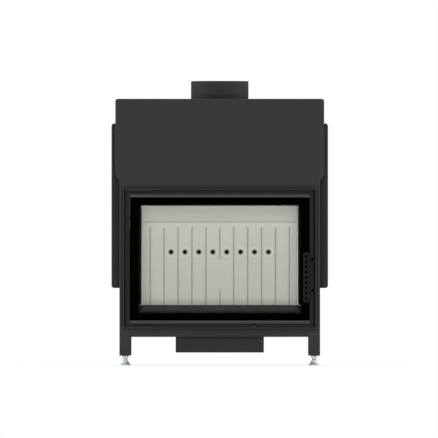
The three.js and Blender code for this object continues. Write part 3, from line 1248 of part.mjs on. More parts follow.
group.add(
  meshOf('front_frame', frontFrame(), BLACK_STEEL),
  meshOf('rear_leg_left', mirrored(leg), BLACK_STEEL),
  meshOf('rear_leg_right', leg, BLACK_STEEL),
  meshOf('front_rail', frontRail(), BLACK_STEEL),
  meshOf('rear_rail', rearRail(), BLACK_STEEL),
  meshOf('side_rail_left', mirrored(rail), BLACK_STEEL),
  meshOf('side_rail_right', rail, BLACK_STEEL),
  meshOf('hood_front_plate', hoodFrontPlate(), BLACK_STEEL),
  meshOf('hood_shell', hoodShell(), BLACK_STEEL),
  meshOf('flue_collar', flueCollar(), BLACK_STEEL),
  meshOf('smoke_gather', gatherHalf(-1), DARK_STEEL),
  meshOf('smoke_gather_rear', gatherHalf(1), DARK_STEEL),
  meshOf('side_casing_left', mirrored(casing), DARK_STEEL),
  meshOf('side_casing_right', casing, DARK_STEEL),
  meshOf('rear_shield', rearShield(), DARK_STEEL),
  meshOf('door_surround', doorSurround(), BLACK_STEEL),
  meshOf('firebox_shell', fireboxShell(), DARK_STEEL),
  meshOf('floor_pan', floorPan(), DARK_STEEL),
  meshOf('hearth_slab', hearthSlab(), FIRECLAY),
  meshOf('side_lining_left', mirrored(slab), FIRECLAY),
  meshOf('side_lining_right', slab, FIRECLAY),
  meshOf('back_lining', backLining(), FIRECLAY),
  meshOf('rear_air_duct', rearDuct(), DARK_STEEL),
  meshOf('deflector', deflector(), FIRECLAY),
  meshOf('baffle_plate', bafflePlate(), DARK_STEEL),
  meshOf('retainer_left', mirrored(retainer), DARK_STEEL),
  meshOf('retainer_right', retainer, DARK_STEEL),
  meshOf('log_guard', logGuard(), DARK_STEEL),
  meshOf('air_box', airBox(), BLACK_STEEL),
  meshOf('air_collar', airCollar(), BLACK_STEEL),
  meshOf('slide_guide_left', slideGuide(-1), DARK_STEEL),
  meshOf('slide_guide_right', slideGuide(1), DARK_STEEL),
  meshOf('hinge_plate_top', hingePlate(1), BLACK_STEEL),
  meshOf('hinge_plate_bottom', hingePlate(-1), BLACK_STEEL),
  meshOf('keeper_top', keeper(CAM_HEIGHTS[0]), BLACK_STEEL),
  meshOf('keeper_bottom', keeper(CAM_HEIGHTS[1]), BLACK_STEEL),
);

const feet = [
  ['front_left', -footX, frontFootY], ['front_right', footX, frontFootY],
  ['rear_left', -footX, rearFootY], ['rear_right', footX, rearFootY],
];
feet.forEach(([place, x, y]) => {
  const nut = meshOf(`lock_nut_${place}`, lockNut(), BARE_STEEL);
  nut.position.set(x, y, 0);
  const foot = meshOf(`levelling_foot_${place}`, levellingFoot(), BARE_STEEL);
  foot.position.set(x, y, 0);
  group.add(nut, foot);
});

group.add(meshOf('air_slide', airSlide(), BLACK_STEEL));

const door = new THREE.Group();
door.position.set(HINGE_X, HINGE_Y, 0);
fill(door, [
  meshOf('door_frame', doorFrame(), DARK_STEEL),
  meshOf('door_glass', doorGlass(), CERAMIC_GLASS),
  meshOf('glass_gasket', glassGasket(), ROPE),
  meshOf('glass_strip_top', glassStrip(1), BLACK_STEEL),
  meshOf('glass_strip_bottom', glassStrip(-1), BLACK_STEEL),
  meshOf('door_rope', doorRope(), ROPE),
  meshOf('shaft_bearing_top', shaftBearing(BEARING_HEIGHTS[0]), DARK_STEEL),
  meshOf('shaft_bearing_bottom', shaftBearing(BEARING_HEIGHTS[1]), DARK_STEEL),
]);
group.add(door);

const handle = new THREE.Group();
handle.position.set(SHAFT_X, SHAFT_Y, 0);
fill(handle, [
  meshOf('handle_grip', handleGrip(), DARK_STEEL),
  meshOf('handle_arm_top', handleArm(ARM_HEIGHTS[0]), DARK_STEEL),
  meshOf('handle_arm_bottom', handleArm(ARM_HEIGHTS[1]), DARK_STEEL),
  meshOf('latch_shaft', latchShaft(), BARE_STEEL),
  meshOf('latch_cam_top', latchCam(CAM_HEIGHTS[0]), BARE_STEEL),
  meshOf('latch_cam_bottom', latchCam(CAM_HEIGHTS[1]), BARE_STEEL),
]);
handle.position.sub(door.position);
door.add(handle);

export default group;
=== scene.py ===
import json
import math

import bmesh
import bpy
import numpy as np
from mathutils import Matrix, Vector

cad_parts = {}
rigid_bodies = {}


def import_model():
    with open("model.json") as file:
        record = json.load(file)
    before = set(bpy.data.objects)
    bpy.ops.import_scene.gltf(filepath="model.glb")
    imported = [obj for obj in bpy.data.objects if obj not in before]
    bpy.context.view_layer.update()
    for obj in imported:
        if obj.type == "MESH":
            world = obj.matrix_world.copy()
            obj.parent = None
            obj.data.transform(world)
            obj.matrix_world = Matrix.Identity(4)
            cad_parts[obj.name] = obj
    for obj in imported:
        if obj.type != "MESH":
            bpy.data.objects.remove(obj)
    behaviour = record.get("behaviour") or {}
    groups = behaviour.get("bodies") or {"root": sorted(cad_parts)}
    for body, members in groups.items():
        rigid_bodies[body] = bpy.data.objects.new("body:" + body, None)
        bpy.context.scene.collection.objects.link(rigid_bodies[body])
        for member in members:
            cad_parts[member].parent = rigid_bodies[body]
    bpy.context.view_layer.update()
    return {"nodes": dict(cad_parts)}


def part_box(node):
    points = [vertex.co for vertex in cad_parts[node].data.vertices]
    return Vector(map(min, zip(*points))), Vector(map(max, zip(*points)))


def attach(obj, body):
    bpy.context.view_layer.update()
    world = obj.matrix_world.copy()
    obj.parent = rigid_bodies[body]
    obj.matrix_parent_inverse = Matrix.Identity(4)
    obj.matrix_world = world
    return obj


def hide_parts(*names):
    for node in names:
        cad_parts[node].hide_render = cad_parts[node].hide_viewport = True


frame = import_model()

bl_info = {
    "name": "Fireplace insert dresser",
    "version": (1, 0, 0),
    "blender": (4, 5, 0),
    "location": "3D View > Sidebar > Insert",
    "description": "Dresses the frame of a fireplace insert with its finishes and its fine pieces",
    "category": "Object",
}

MM = 0.001
FIT = 0.3 * MM               # between pieces that sit against each other
WELD = 1e-6                  # points closer than this are one point
CORNERS = ("front_left", "front_right", "rear_left", "rear_right")

# places in the frame that no box gives
FRONT = -0.198               # y of the front plate's face
WINDOW_BOTTOM = 175 * MM     # the opening of the door frame
WINDOW_TOP = 562 * MM
AIR_HOLE_DROP = 105.7 * MM   # from the top of the back slab down to its air holes
AIR_HOLE_PITCH = 48.5 * MM
AIR_HOLE_COUNT = 8


# ------------------------------------------- sizes and colours

class INSERT_PG_finishes(bpy.types.PropertyGroup):
    """Colours of the insert's finishes, as sRGB hex values, and their gloss."""

    paint: bpy.props.StringProperty(
        name="Body paint", description="Heat-resistant paint on the body, sRGB hex",
        default="303030")
    # the door frame's paint is darker as painted shade for its recess behind the proud lip
    shaded_trim: bpy.props.StringProperty(
        name="Dark paint", description="Darker heat-resistant paint on the door frame, sRGB hex",
        default="1c1c1d")
    casing: bpy.props.StringProperty(
        name="Casing paint", description="Heat-resistant paint on the side casings, sRGB hex",
        default="262627")
    grip: bpy.props.StringProperty(
        name="Grip paint", description="Heat-resistant paint on the grip and its arms, sRGB hex",
        default="141415")
    strip: bpy.props.StringProperty(
        name="Strips", description="Satin black of the strips that clamp the glass, sRGB hex",
        default="303030")
    iron: bpy.props.StringProperty(
        name="Cast iron", description="Sand-cast iron of the log guard, sRGB hex", default="343434")
    fireclay: bpy.props.StringProperty(
        name="Fireclay", description="Pressed fireclay lining, sRGB hex", default="dbdad4")
    # the deflector's colour is paler than the fireclay, as vermiculite is, and paler still as
    # painted light that makes up for the shade on its downward face
    vermiculite: bpy.props.StringProperty(
        name="Vermiculite", description="Pressed vermiculite of the deflector, sRGB hex",
        default="f0efe9")
    zinc: bpy.props.StringProperty(
        name="Zinc plate", description="Bright zinc plate on the feet and the nuts, sRGB hex",
        default="bcc0c5")
    glass: bpy.props.StringProperty(
        name="Glass", description="Clear ceramic glass, sRGB hex", default="16130f")
    rope: bpy.props.StringProperty(
        name="Sealing rope", description="Graphited glass-fibre rope, sRGB hex", default="2a2a2c")
    paint_roughness: bpy.props.FloatProperty(
        name="Paint roughness", description="Roughness of the matt paint",
        default=0.6, min=0.1, max=1.0, subtype="FACTOR")
    glass_body: bpy.props.FloatProperty(
        name="Glass body", description="Share of light that each face of the pane holds back",
        default=0.015, min=0.0, max=1.0, subtype="FACTOR")


class INSERT_PG_sizes(bpy.types.PropertyGroup):
    """Sizes of the fine pieces that the frame leaves plain."""

    collar_segments: bpy.props.IntProperty(
        name="Collar facets", description="Facets round the flue collar",
        default=192, min=48, max=512)
    thread_pitch: bpy.props.FloatProperty(
        name="Thread pitch", description="Pitch of the thread on the levelling studs",
        default=1.75 * MM, unit="LENGTH")
    thread_depth: bpy.props.FloatProperty(
        name="Thread depth", description="Depth of that thread", default=0.95 * MM, unit="LENGTH")
    braid_pitch: bpy.props.FloatProperty(
        name="Braid pitch", description="Length of one plait along the door rope",
        default=7 * MM, unit="LENGTH")
    braid_relief: bpy.props.FloatProperty(
        name="Braid relief", description="Depth of the furrows between the plaits",
        default=0.45 * MM, unit="LENGTH")
    border: bpy.props.FloatProperty(
        name="Printed border", description="Width of the solid print, from the glass's sides",
        default=31 * MM, unit="LENGTH")
    border_foot: bpy.props.FloatProperty(
        name="Border foot", description="Solid print above the window's lower edge",
        default=5.5 * MM, unit="LENGTH")
    border_head: bpy.props.FloatProperty(
        name="Border head", description="Solid print below the window's upper edge",
        default=7.2 * MM, unit="LENGTH")
    dot_pitch: bpy.props.FloatProperty(
        name="Dot pitch", description="Spacing of the printed dots along the border",
        default=3.4 * MM, unit="LENGTH")
    dot_rows: bpy.props.IntProperty(
        name="Dot rows", description="Rows of printed dots above the border's foot",
        default=5, min=0, max=6)
    clip_width: bpy.props.FloatProperty(
        name="Clip width", description="Width of the small clips that hold the glass",
        default=4 * MM, unit="LENGTH")
    screw_head: bpy.props.FloatProperty(
        name="Screw head", description="Radius of the small round screw heads",
        default=3.2 * MM, unit="LENGTH")


class INSERT_PG_stage(bpy.types.PropertyGroup):
    """Floor, lamps and camera."""

    floor_radius: bpy.props.FloatProperty(
        name="Floor radius", description="Radius of the pale floor", default=1.9, unit="LENGTH")
    camera_distance: bpy.props.FloatProperty(
        name="Camera distance", description="From the camera to the front plate",
        default=50.0, unit="LENGTH")
    picture_width: bpy.props.FloatProperty(
        name="Picture width", description="What the picture shows at the front plate",
        default=1.5155, unit="LENGTH")
    camera_side: bpy.props.FloatProperty(
        name="Camera side", description="Sideways place of the camera",
        default=-0.0026, unit="LENGTH")
    camera_height: bpy.props.FloatProperty(
        name="Camera height", description="Height of the camera above the floor",
        default=0.507, unit="LENGTH")
    key_power: bpy.props.FloatProperty(
        name="Front lamp", description="Power of the front lamp", default=150.0, unit="POWER")
    low_power: bpy.props.FloatProperty(
        name="Low lamp", description="Power of the lamp low in front", default=100.0, unit="POWER")
    top_power: bpy.props.FloatProperty(
        name="Top lamp", description="Power of the lamp overhead", default=60.0, unit="POWER")
    side_power: bpy.props.FloatProperty(
        name="Side lamps", description="Power of each lamp at the side",
        default=150.0, unit="POWER")
    rear_power: bpy.props.FloatProperty(
        name="Rear lamp", description="Power of the lamp behind", default=180.0, unit="POWER")
    ambient: bpy.props.FloatProperty(
        name="Ambient light", description="Strength of the even light from all round",
        default=0.25, min=0.0, max=1.0, subtype="FACTOR")


# ------------------------------------------- materials

def linear(code):
    """An sRGB hex colour as linear red, green, blue and alpha: c / 12.92 up to 0.04045 and
    ((c + 0.055) / 1.055) ^ 2.4 above it."""
    value = np.array([int(code[i:i + 2], 16) for i in (0, 2, 4)]) / 255
    value = np.where(value <= 0.04045, value / 12.92, ((value + 0.055) / 1.055) ** 2.4)
    return (*value.tolist(), 1.0)


def shaded(code, factor):
    """The same colour, lighter or darker by a factor of its linear values."""
    return (*(min(c * factor, 1.0) for c in linear(code)[:3]), 1.0)


def add(tree, kind, values=None, links=None, **settings):
    """Adds one shader node, its kind given without the word ShaderNode: its settings, its socket
    values and what feeds its sockets."""
    node = tree.nodes.new("ShaderNode" + kind)
    for name, value in settings.items():
        setattr(node, name, value)
    for socket, value in (values or {}).items():
        node.inputs[socket].default_value = value
    for socket, source in (links or {}).items():
        tree.links.new(source, node.inputs[socket])
    return node


def blended(tree, first, second, share):
    """Two patterns as one: first x (1 - share) + second x share."""
    part = add(tree, "Math", {1: 1 - share}, {0: first.outputs["Fac"]}, operation="MULTIPLY")
    return add(tree, "Math", {1: share}, {0: second.outputs["Fac"], 2: part.outputs[0]},
               operation="MULTIPLY_ADD").outputs[0]


def laid_over(tree, colour, coat, source, start, end, first, last):
    """A coat over a colour: its share runs from first, where the source is start, to last, where
    the source is end, and keeps them beyond."""
    share = add(tree, "MapRange",
                {"From Min": start, "From Max": end, "To Min": first, "To Max": last},
                {"Value": source})
    return add(tree, "Mix", {"B": coat},
               {"Factor": share.outputs["Result"], "A": colour.outputs["Result"]},
               data_type="RGBA")


def empty_material(name):
    """A material whose node tree holds nothing yet."""
    material = bpy.data.materials.new(name)
    material.use_nodes = True
    material.node_tree.nodes.clear()
    return material, material.node_tree


def heat_resistant_paint(name, code, roughness, shine=0.06):
    """Silicone-based stove paint, sprayed and baked: matt, nearly black, with a fine dry grain
    and faint clouds, about 110 mm across, where the coat is thicker. The real grain is about
    0.2 mm; it is drawn 1.6 mm coarse so that it shows."""
    grain = 1.6 * MM
    crevice = 15 * MM
    corner = 1.2 * MM
    material, tree = empty_material(name)
    place = add(tree, "TexCoord").outputs["Object"]
    clouds = add(tree, "TexNoise", {"Scale": 9.0, "Detail": 3.0, "Roughness": 0.55},
                 {"Vector": place})
    grains = add(tree, "TexNoise", {"Scale": 1 / grain, "Detail": 2.0, "Roughness": 0.6},
                 {"Vector": place})
    blend = blended(tree, clouds, grains, 0.55)
    colour = add(tree, "Mix", {"A": shaded(code, 0.80), "B": shaded(code, 1.22)},
                 {"Factor": blend}, data_type="RGBA")
    # painted shade: the coat is darkened in crevices and wherever other faces stand close by, where
    # shade falls
    near = add(tree, "AmbientOcclusion", {"Distance": crevice}, samples=4)
    colour = laid_over(tree, colour, shaded(code, 0.05), near.outputs["AO"],
                       0.25, 0.88, 0.75, 0.0)
    # painted highlight: the coat is paler within a millimetre of a corner, where the edges would
    # catch the light
    eased = add(tree, "Bevel", {"Radius": corner}, samples=6)
    flat = add(tree, "NewGeometry")
    turn = add(tree, "VectorMath", links={0: eased.outputs["Normal"], 1: flat.outputs["Normal"]},
               operation="DOT_PRODUCT")
    colour = laid_over(tree, colour, shaded(code, 2.4), turn.outputs["Value"],
                       0.99, 0.80, 0.0, 0.75)
    gloss = add(tree, "MapRange", {"From Min": 0.3, "From Max": 0.7,
                                   "To Min": roughness - 0.06, "To Max": roughness + 0.08},
                {"Value": blend})
    relief = add(tree, "Bump", {"Strength": 0.22, "Distance": 0.12 * MM},
                 {"Height": grains.outputs["Fac"], "Normal": eased.outputs["Normal"]})
    shader = add(tree, "BsdfPrincipled", {"IOR": 1.47, "Specular IOR Level": shine},
                 {"Base Color": colour.outputs["Result"], "Roughness": gloss.outputs["Result"],
                  "Normal": relief.outputs["Normal"]})
    add(tree, "OutputMaterial", links={"Surface": shader.outputs["BSDF"]})
    return material


def cast_iron(name, code):
    """Sand-cast iron, oiled and burnt dark grey: the skin keeps the print of the sand, in grains
    of about 0.8 mm, and is a little browner in patches of about 40 mm. The grains are drawn at
    1.8 mm so that they show."""
    grain = 1.8 * MM
    material, tree = empty_material(name)
    place = add(tree, "TexCoord").outputs["Object"]
    sand = add(tree, "TexNoise", {"Scale": 1 / grain, "Detail": 3.0, "Roughness": 0.65},
               {"Vector": place})
    patches = add(tree, "TexNoise", {"Scale": 24.0, "Detail": 2.0}, {"Vector": place})
    skin = add(tree, "Mix", {"A": shaded(code, 0.72), "B": shaded(code, 1.25)},
               {"Factor": sand.outputs["Fac"]}, data_type="RGBA")
    colour = laid_over(tree, skin, linear("302e2c"), patches.outputs["Fac"], 0.52, 0.75, 0.0, 0.5)
    gloss = add(tree, "MapRange", {"To Min": 0.6, "To Max": 0.8},
                {"Value": patches.outputs["Fac"]})
    relief = add(tree, "Bump", {"Strength": 0.5, "Distance": 0.4 * MM},
                 {"Height": sand.outputs["Fac"]})
    shader = add(tree, "BsdfPrincipled", {"Specular IOR Level": 0.2},
                 {"Base Color": colour.outputs["Result"], "Roughness": gloss.outputs["Result"],
                  "Normal": relief.outputs["Normal"]})
    add(tree, "OutputMaterial", links={"Surface": shader.outputs["BSDF"]})
    return material


def pressed_fireclay(name, code, slab_box=None):
    """Vermiculite and fireclay pressed into slabs: chalky, warm pale grey, with a fine sandy
    grain, a few darker grits and clouds of about 80 mm. The grit is about 0.5 mm; it is drawn at
    2 mm so that it shows. With the box of the fluted slab given, painted shade darkens the clay
    with the depth below its face, in the flutes and nearly to black in the air holes, and along
    its top edge, at the joint under the deflector. The sinks of the air holes get painted shade
    too, and a painted highlight lies on a ring round each."""
    grit = 2 * MM
    grit_cell = 5 * MM
    material, tree = empty_material(name)
    place = add(tree, "TexCoord").outputs["Object"]
    clouds = add(tree, "TexNoise", {"Scale": 12.0, "Detail": 4.0, "Roughness": 0.6},
                 {"Vector": place})
    sand = add(tree, "TexNoise", {"Scale": 1 / grit, "Detail": 3.0, "Roughness": 0.7},
               {"Vector": place})
    grits = add(tree, "TexVoronoi", {"Scale": 1 / grit_cell, "Randomness": 1.0},
                {"Vector": place})
    body = add(tree, "Mix", {"A": shaded(code, 0.90), "B": shaded(code, 1.08)},
               {"Factor": blended(tree, clouds, sand, 0.5)}, data_type="RGBA")
    colour = laid_over(tree, body, shaded(code, 0.62), grits.outputs["Distance"],
                       0.10, 0.22, 0.25, 0.0)
    if slab_box is not None:
        face, top = slab_box[0].y, slab_box[1].z
        split = add(tree, "SeparateXYZ", links={"Vector": place})
        # way to the axis of the nearest air hole; the holes stand at odd halves of the pitch
        reach = (AIR_HOLE_COUNT / 2 - 0.1) * AIR_HOLE_PITCH
        nearest = add(tree, "Clamp", {"Min": -reach, "Max": reach}, {"Value": split.outputs["X"]})
        nearest = add(tree, "Math", {1: AIR_HOLE_PITCH}, {0: nearest.outputs["Result"]},
                      operation="SNAP")
        nearest = add(tree, "Math", {1: AIR_HOLE_PITCH / 2}, {0: nearest.outputs[0]},
                      operation="ADD")
        across = add(tree, "Math", links={0: split.outputs["X"], 1: nearest.outputs[0]},
                     operation="SUBTRACT")
        above = add(tree, "Math", {1: top - AIR_HOLE_DROP}, {0: split.outputs["Z"]},
                    operation="SUBTRACT")
        spot = add(tree, "CombineXYZ", links={"X": across.outputs[0], "Z": above.outputs[0]})
        away = add(tree, "VectorMath", links={0: spot.outputs[0]}, operation="LENGTH")
        land = add(tree, "Math", {1: 14.8 * MM}, {0: away.outputs["Value"]}, operation="SUBTRACT")
        land = add(tree, "Math", links={0: land.outputs[0]}, operation="ABSOLUTE")
        # in turn: painted shade in the flutes, painted shade in the air-hole bores, painted shade
        # at the joint on top, a painted highlight on a ring round each hole and painted shade in
        # the sinks
        painted_shade = linear("0b0a09")
        for coat, source, start, end, first, last in (
                (painted_shade, split.outputs["Y"], face + 0.3 * MM, face + 3 * MM, 0.0, 0.16),
                (painted_shade, split.outputs["Y"], face + 2.6 * MM, face + 3.9 * MM, 0.0, 0.97),
                (painted_shade, split.outputs["Z"], top - 4.5 * MM, top - 2.5 * MM, 0.0, 0.3),
                (shaded(code, 1.13), land.outputs[0], 1 * MM, 2.8 * MM, 1.0, 0.0),
                (linear("2b2823"), away.outputs["Value"], 6.5 * MM, 12.5 * MM, 0.42, 0.0)):
            colour = laid_over(tree, colour, coat, source, start, end, first, last)
    relief = add(tree, "Bump", {"Strength": 0.3, "Distance": 0.35 * MM},
                 {"Height": sand.outputs["Fac"]})
    shader = add(tree, "BsdfPrincipled", {"Roughness": 0.92, "IOR": 1.45},
                 {"Base Color": colour.outputs["Result"], "Normal": relief.outputs["Normal"]})
    add(tree, "OutputMaterial", links={"Surface": shader.outputs["BSDF"]})
    return material


def bright_zinc(name, code, dull=0.16):
    """Steel with bright electroplated zinc: a bluish silver that mirrors softly, a little duller
    in faint clouds of about 11 mm. dull is the roughness where it shines most."""
    material, tree = empty_material(name)
    place = add(tree, "TexCoord").outputs["Object"]
    clouds = add(tree, "TexNoise", {"Scale": 90.0, "Detail": 3.0, "Roughness": 0.6},
                 {"Vector": place})
    colour = add(tree, "Mix", {"A": shaded(code, 0.86), "B": shaded(code, 1.08)},
                 {"Factor": clouds.outputs["Fac"]}, data_type="RGBA")
    gloss = add(tree, "MapRange",
                {"From Min": 0.3, "From Max": 0.7, "To Min": dull, "To Max": dull + 0.14},
                {"Value": clouds.outputs["Fac"]})
    shader = add(tree, "BsdfPrincipled", {"Metallic": 1.0},
                 {"Base Color": colour.outputs["Result"], "Roughness": gloss.outputs["Result"]})
    add(tree, "OutputMaterial", links={"Surface": shader.outputs["BSDF"]})
    return material


def ceramic_glass(name, code, body):
    """Clear ceramic glass, 4 mm, fire-polished: nearly all of the light goes straight through,
    with the faint brown of such glass in the rest. body is that rest."""
    material, tree = empty_material(name)
    shader = add(tree, "BsdfPrincipled", {"Base Color": linear(code), "Roughness": 0.03,
                                          "IOR": 1.54, "Specular IOR Level": 0.02, "Alpha": body})
    add(tree, "OutputMaterial", links={"Surface": shader.outputs["BSDF"]})
    material.surface_render_method = "BLENDED"
    return material


def printed_enamel(name):
    """Black ceramic ink fired onto the glass: dead black seen through the pane, with a slight
    unevenness in its gloss, in spots of about 4 mm."""
    spot = 4 * MM
    material, tree = empty_material(name)
    place = add(tree, "TexCoord").outputs["Object"]
    film = add(tree, "TexNoise", {"Scale": 1 / spot, "Detail": 2.0}, {"Vector": place})
    colour = add(tree, "Mix", {"A": linear("000000"), "B": linear("020202")},
                 {"Factor": film.outputs["Fac"]}, data_type="RGBA")
    gloss = add(tree, "MapRange", {"To Min": 0.45, "To Max": 0.6}, {"Value": film.outputs["Fac"]})
    shader = add(tree, "BsdfPrincipled", {"Specular IOR Level": 0.0},
                 {"Base Color": colour.outputs["Result"], "Roughness": gloss.outputs["Result"]})
    add(tree, "OutputMaterial", links={"Surface": shader.outputs["BSDF"]})
    return material


def braided_fibre(name, code):
    """Graphited glass-fibre yarn, plaited: dull charcoal, each plait with its yarns running
    slantwise. The yarns are 0.5 mm; they are drawn in bands of 8 mm that follow the rope's own
    map, in metres."""
    band = 8 * MM
    material, tree = empty_material(name)
    lay = add(tree, "UVMap", uv_map="lay").outputs["UV"]
    yarn = add(tree, "TexWave", {"Scale": 1 / band, "Distortion": 1.5, "Detail": 1.0,
                                 "Detail Scale": 2.0}, {"Vector": lay}, bands_direction="DIAGONAL")
    fuzz = add(tree, "TexNoise", {"Scale": 900.0, "Detail": 2.0}, {"Vector": lay})
    colour = add(tree, "Mix", {"A": shaded(code, 0.55), "B": shaded(code, 1.5)},
                 {"Factor": blended(tree, yarn, fuzz, 0.5)}, data_type="RGBA")
    relief = add(tree, "Bump", {"Strength": 0.5, "Distance": 0.2 * MM},
                 {"Height": yarn.outputs["Fac"]})
    shader = add(tree, "BsdfPrincipled", {"Roughness": 0.95, "Sheen Weight": 0.15},
                 {"Base Color": colour.outputs["Result"], "Normal": relief.outputs["Normal"]})
    add(tree, "OutputMaterial", links={"Surface": shader.outputs["BSDF"]})
    return material


def made(name):
    """The material of that name, which the finishes operator makes first."""
    if name not in bpy.data.materials:
        raise RuntimeError(f"the finishes come first: no material {name}")
    return bpy.data.materials[name]


# ------------------------------------------- surfaces

def square_up(rows, columns, close_rows=False, close_columns=False):
    """Corner numbers of the quads between neighbouring points of a grid of rows and columns."""
    i = np.arange(rows if close_rows else rows - 1)
    j = np.arange(columns if close_columns else columns - 1)
    i, j = np.meshgrid(i, j, indexing="ij")
    up, on = (i + 1) % rows, (j + 1) % columns
    quads = [i * columns + j, i * columns + on, up * columns + on, up * columns + j]
    return np.stack(quads, -1).reshape(-1, 4)


def piece(name, parts, material, body, sharp=35.0, replaced=(), lay=None, doubles=0.0):
    """One object from (points, quads) parts: points within doubles of each other are welded, the
    normals are turned outwards and edges over the sharp angle stay crisp. lay is a map with one
    pair for each corner."""
    points, quads, start = [], [], 0
    for part_points, part_quads in parts:
        points.append(np.asarray(part_points, float).reshape(-1, 3))
        quads.append(np.asarray(part_quads) + start)
        start += len(points[-1])
    mesh = bpy.data.meshes.new(name)
    mesh.from_pydata(np.concatenate(points).tolist(), [], np.concatenate(quads).tolist())
    if lay is not None:
        mesh.uv_layers.new(name="lay")
        mesh.uv_layers["lay"].data.foreach_set("uv", np.asarray(lay, np.float32).reshape(-1))
    work = bmesh.new()
    work.from_mesh(mesh)
    if doubles:
        bmesh.ops.remove_doubles(work, verts=work.verts, dist=doubles)
        bmesh.ops.dissolve_degenerate(work, edges=work.edges, dist=doubles / 2)
    bmesh.ops.recalc_face_normals(work, faces=work.faces)
    work.to_mesh(mesh)
    work.free()
    mesh.polygons.foreach_set("use_smooth", [True] * len(mesh.polygons))
    mesh.set_sharp_from_angle(angle=math.radians(sharp))
    mesh.materials.append(material)
    built = bpy.data.objects.new(name, mesh)
    bpy.context.scene.collection.objects.link(built)
    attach(built, body)
    if replaced:
        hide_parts(*replaced)
    return built


def whole_turn(steps):
    """Angles evenly spaced round a circle."""
    return np.linspace(0, 2 * np.pi, steps, endpoint=False)


def swept(radius, angle, height, centre):
    """Points round an upright axis: x = cx + r cos a, y = cy + r sin a, z = cz + h."""
    radius, height = np.broadcast_arrays(radius, height)
    return np.stack([centre[0] + radius * np.cos(angle), centre[1] + radius * np.sin(angle),
                     centre[2] + height + 0 * angle], -1)


def turned(profile, centre, segments, closed=False):
    """A profile of (radius, height) pairs carried round an upright axis. A closed profile makes
    a ring; an open one starts and ends on the axis."""
    profile = np.asarray(profile, float)
    points = swept(profile[:, :1], whole_turn(segments), profile[:, 1:], centre)
    return points, square_up(len(profile), segments, close_rows=closed, close_columns=True)


def arc(cx, cz, radius, start, end, steps):
    """Points on a circle from one angle to another, in degrees."""
    a = np.radians(np.linspace(start, end, steps))
    return np.stack([cx + radius * np.cos(a), cz + radius * np.sin(a)], -1)


def hexagon_ring(flat, bottom, top, centre, bore=0.0, segments=96):
    """A chamfered hexagon. Its side lies flat / cos(angle folded into 60 degrees) from the axis,
    and each end drops by (that distance - the land's radius) x tan(30 degrees) towards the
    corners, as a turned chamfer cuts it. With no bore its ends meet on the axis."""
    angle = whole_turn(segments)
    side = flat / np.cos((angle + np.pi / 6) % (np.pi / 3) - np.pi / 6)
    land = 0.97 * flat + 0 * angle
    drop = (side - land) * math.tan(math.radians(30))
    inner = bore + 0 * angle
    rows = [(inner, bottom), (land, bottom), (side, bottom + drop), (side, top - drop),
            (land, top), (inner, top)]
    points = np.stack([swept(radius, angle, height, centre) for radius, height in rows])
    return points, square_up(len(rows), segments, close_rows=bore > 0, close_columns=True)


def slab(front, back):
    """A closed plate between two grids of points of the same shape: both faces, and a wall round
    their edge."""
    rows, columns = front.shape[:2]
    count = rows * columns
    face = square_up(rows, columns)
    j, i = np.arange(columns - 1), np.arange(rows - 1)
    rim = np.concatenate([j, i * columns + columns - 1, count - 1 - j, (rows - 1 - i) * columns])
    wall = np.stack([rim, np.roll(rim, -1), np.roll(rim, -1) + count, rim + count], -1)
    points = np.concatenate([front.reshape(-1, 3), back.reshape(-1, 3)])
    return points, np.concatenate([face, face[:, ::-1] + count, wall])


def pillow(x0, x1, z0, z1, y, thickness):
    """A thin bar pressed from sheet: its face stands thickness x (1 + (1 - u^8)(1 - v^8)) / 2 in
    front of y, with u and v from -1 to 1 across it, so its edges are eased."""
    u = np.sin(np.linspace(-np.pi / 2, np.pi / 2, 13))
    x = (x0 + x1) / 2 + (x1 - x0) / 2 * u
    z = (z0 + z1) / 2 + (z1 - z0) / 2 * u
    swell = 0.5 + 0.5 * (1 - u[:, None] ** 8) * (1 - u[None, :] ** 8)
    x, z = np.meshgrid(x, z)
    return slab(np.stack([x, y - thickness * swell, z], -1), np.stack([x, y + 0 * x, z], -1))


def rounded_rectangle(x0, x1, z0, z1, radius, corner_steps):
    """Points round a rectangle with rounded corners, from its right side over its top."""
    corners = [(x1 - radius, z1 - radius, 0), (x0 + radius, z1 - radius, 90),
               (x0 + radius, z0 + radius, 180), (x1 - radius, z0 + radius, 270)]
    return np.concatenate([arc(cx, cz, radius, a, a + 90, corner_steps) for cx, cz, a in corners])


def evenly(path, spacing):
    """Points about evenly spaced round a closed path, the distance run at each and the whole
    length."""
    path = np.concatenate([path, path[:1]])
    run = np.concatenate([[0], np.cumsum(np.hypot(*np.diff(path, axis=0).T))])
    at = np.linspace(0, run[-1], round(run[-1] / spacing), endpoint=False)
    points = np.stack([np.interp(at, run, path[:, 0]), np.interp(at, run, path[:, 1])], -1)
    return points, at, run[-1]


# ------------------------------------------- pieces

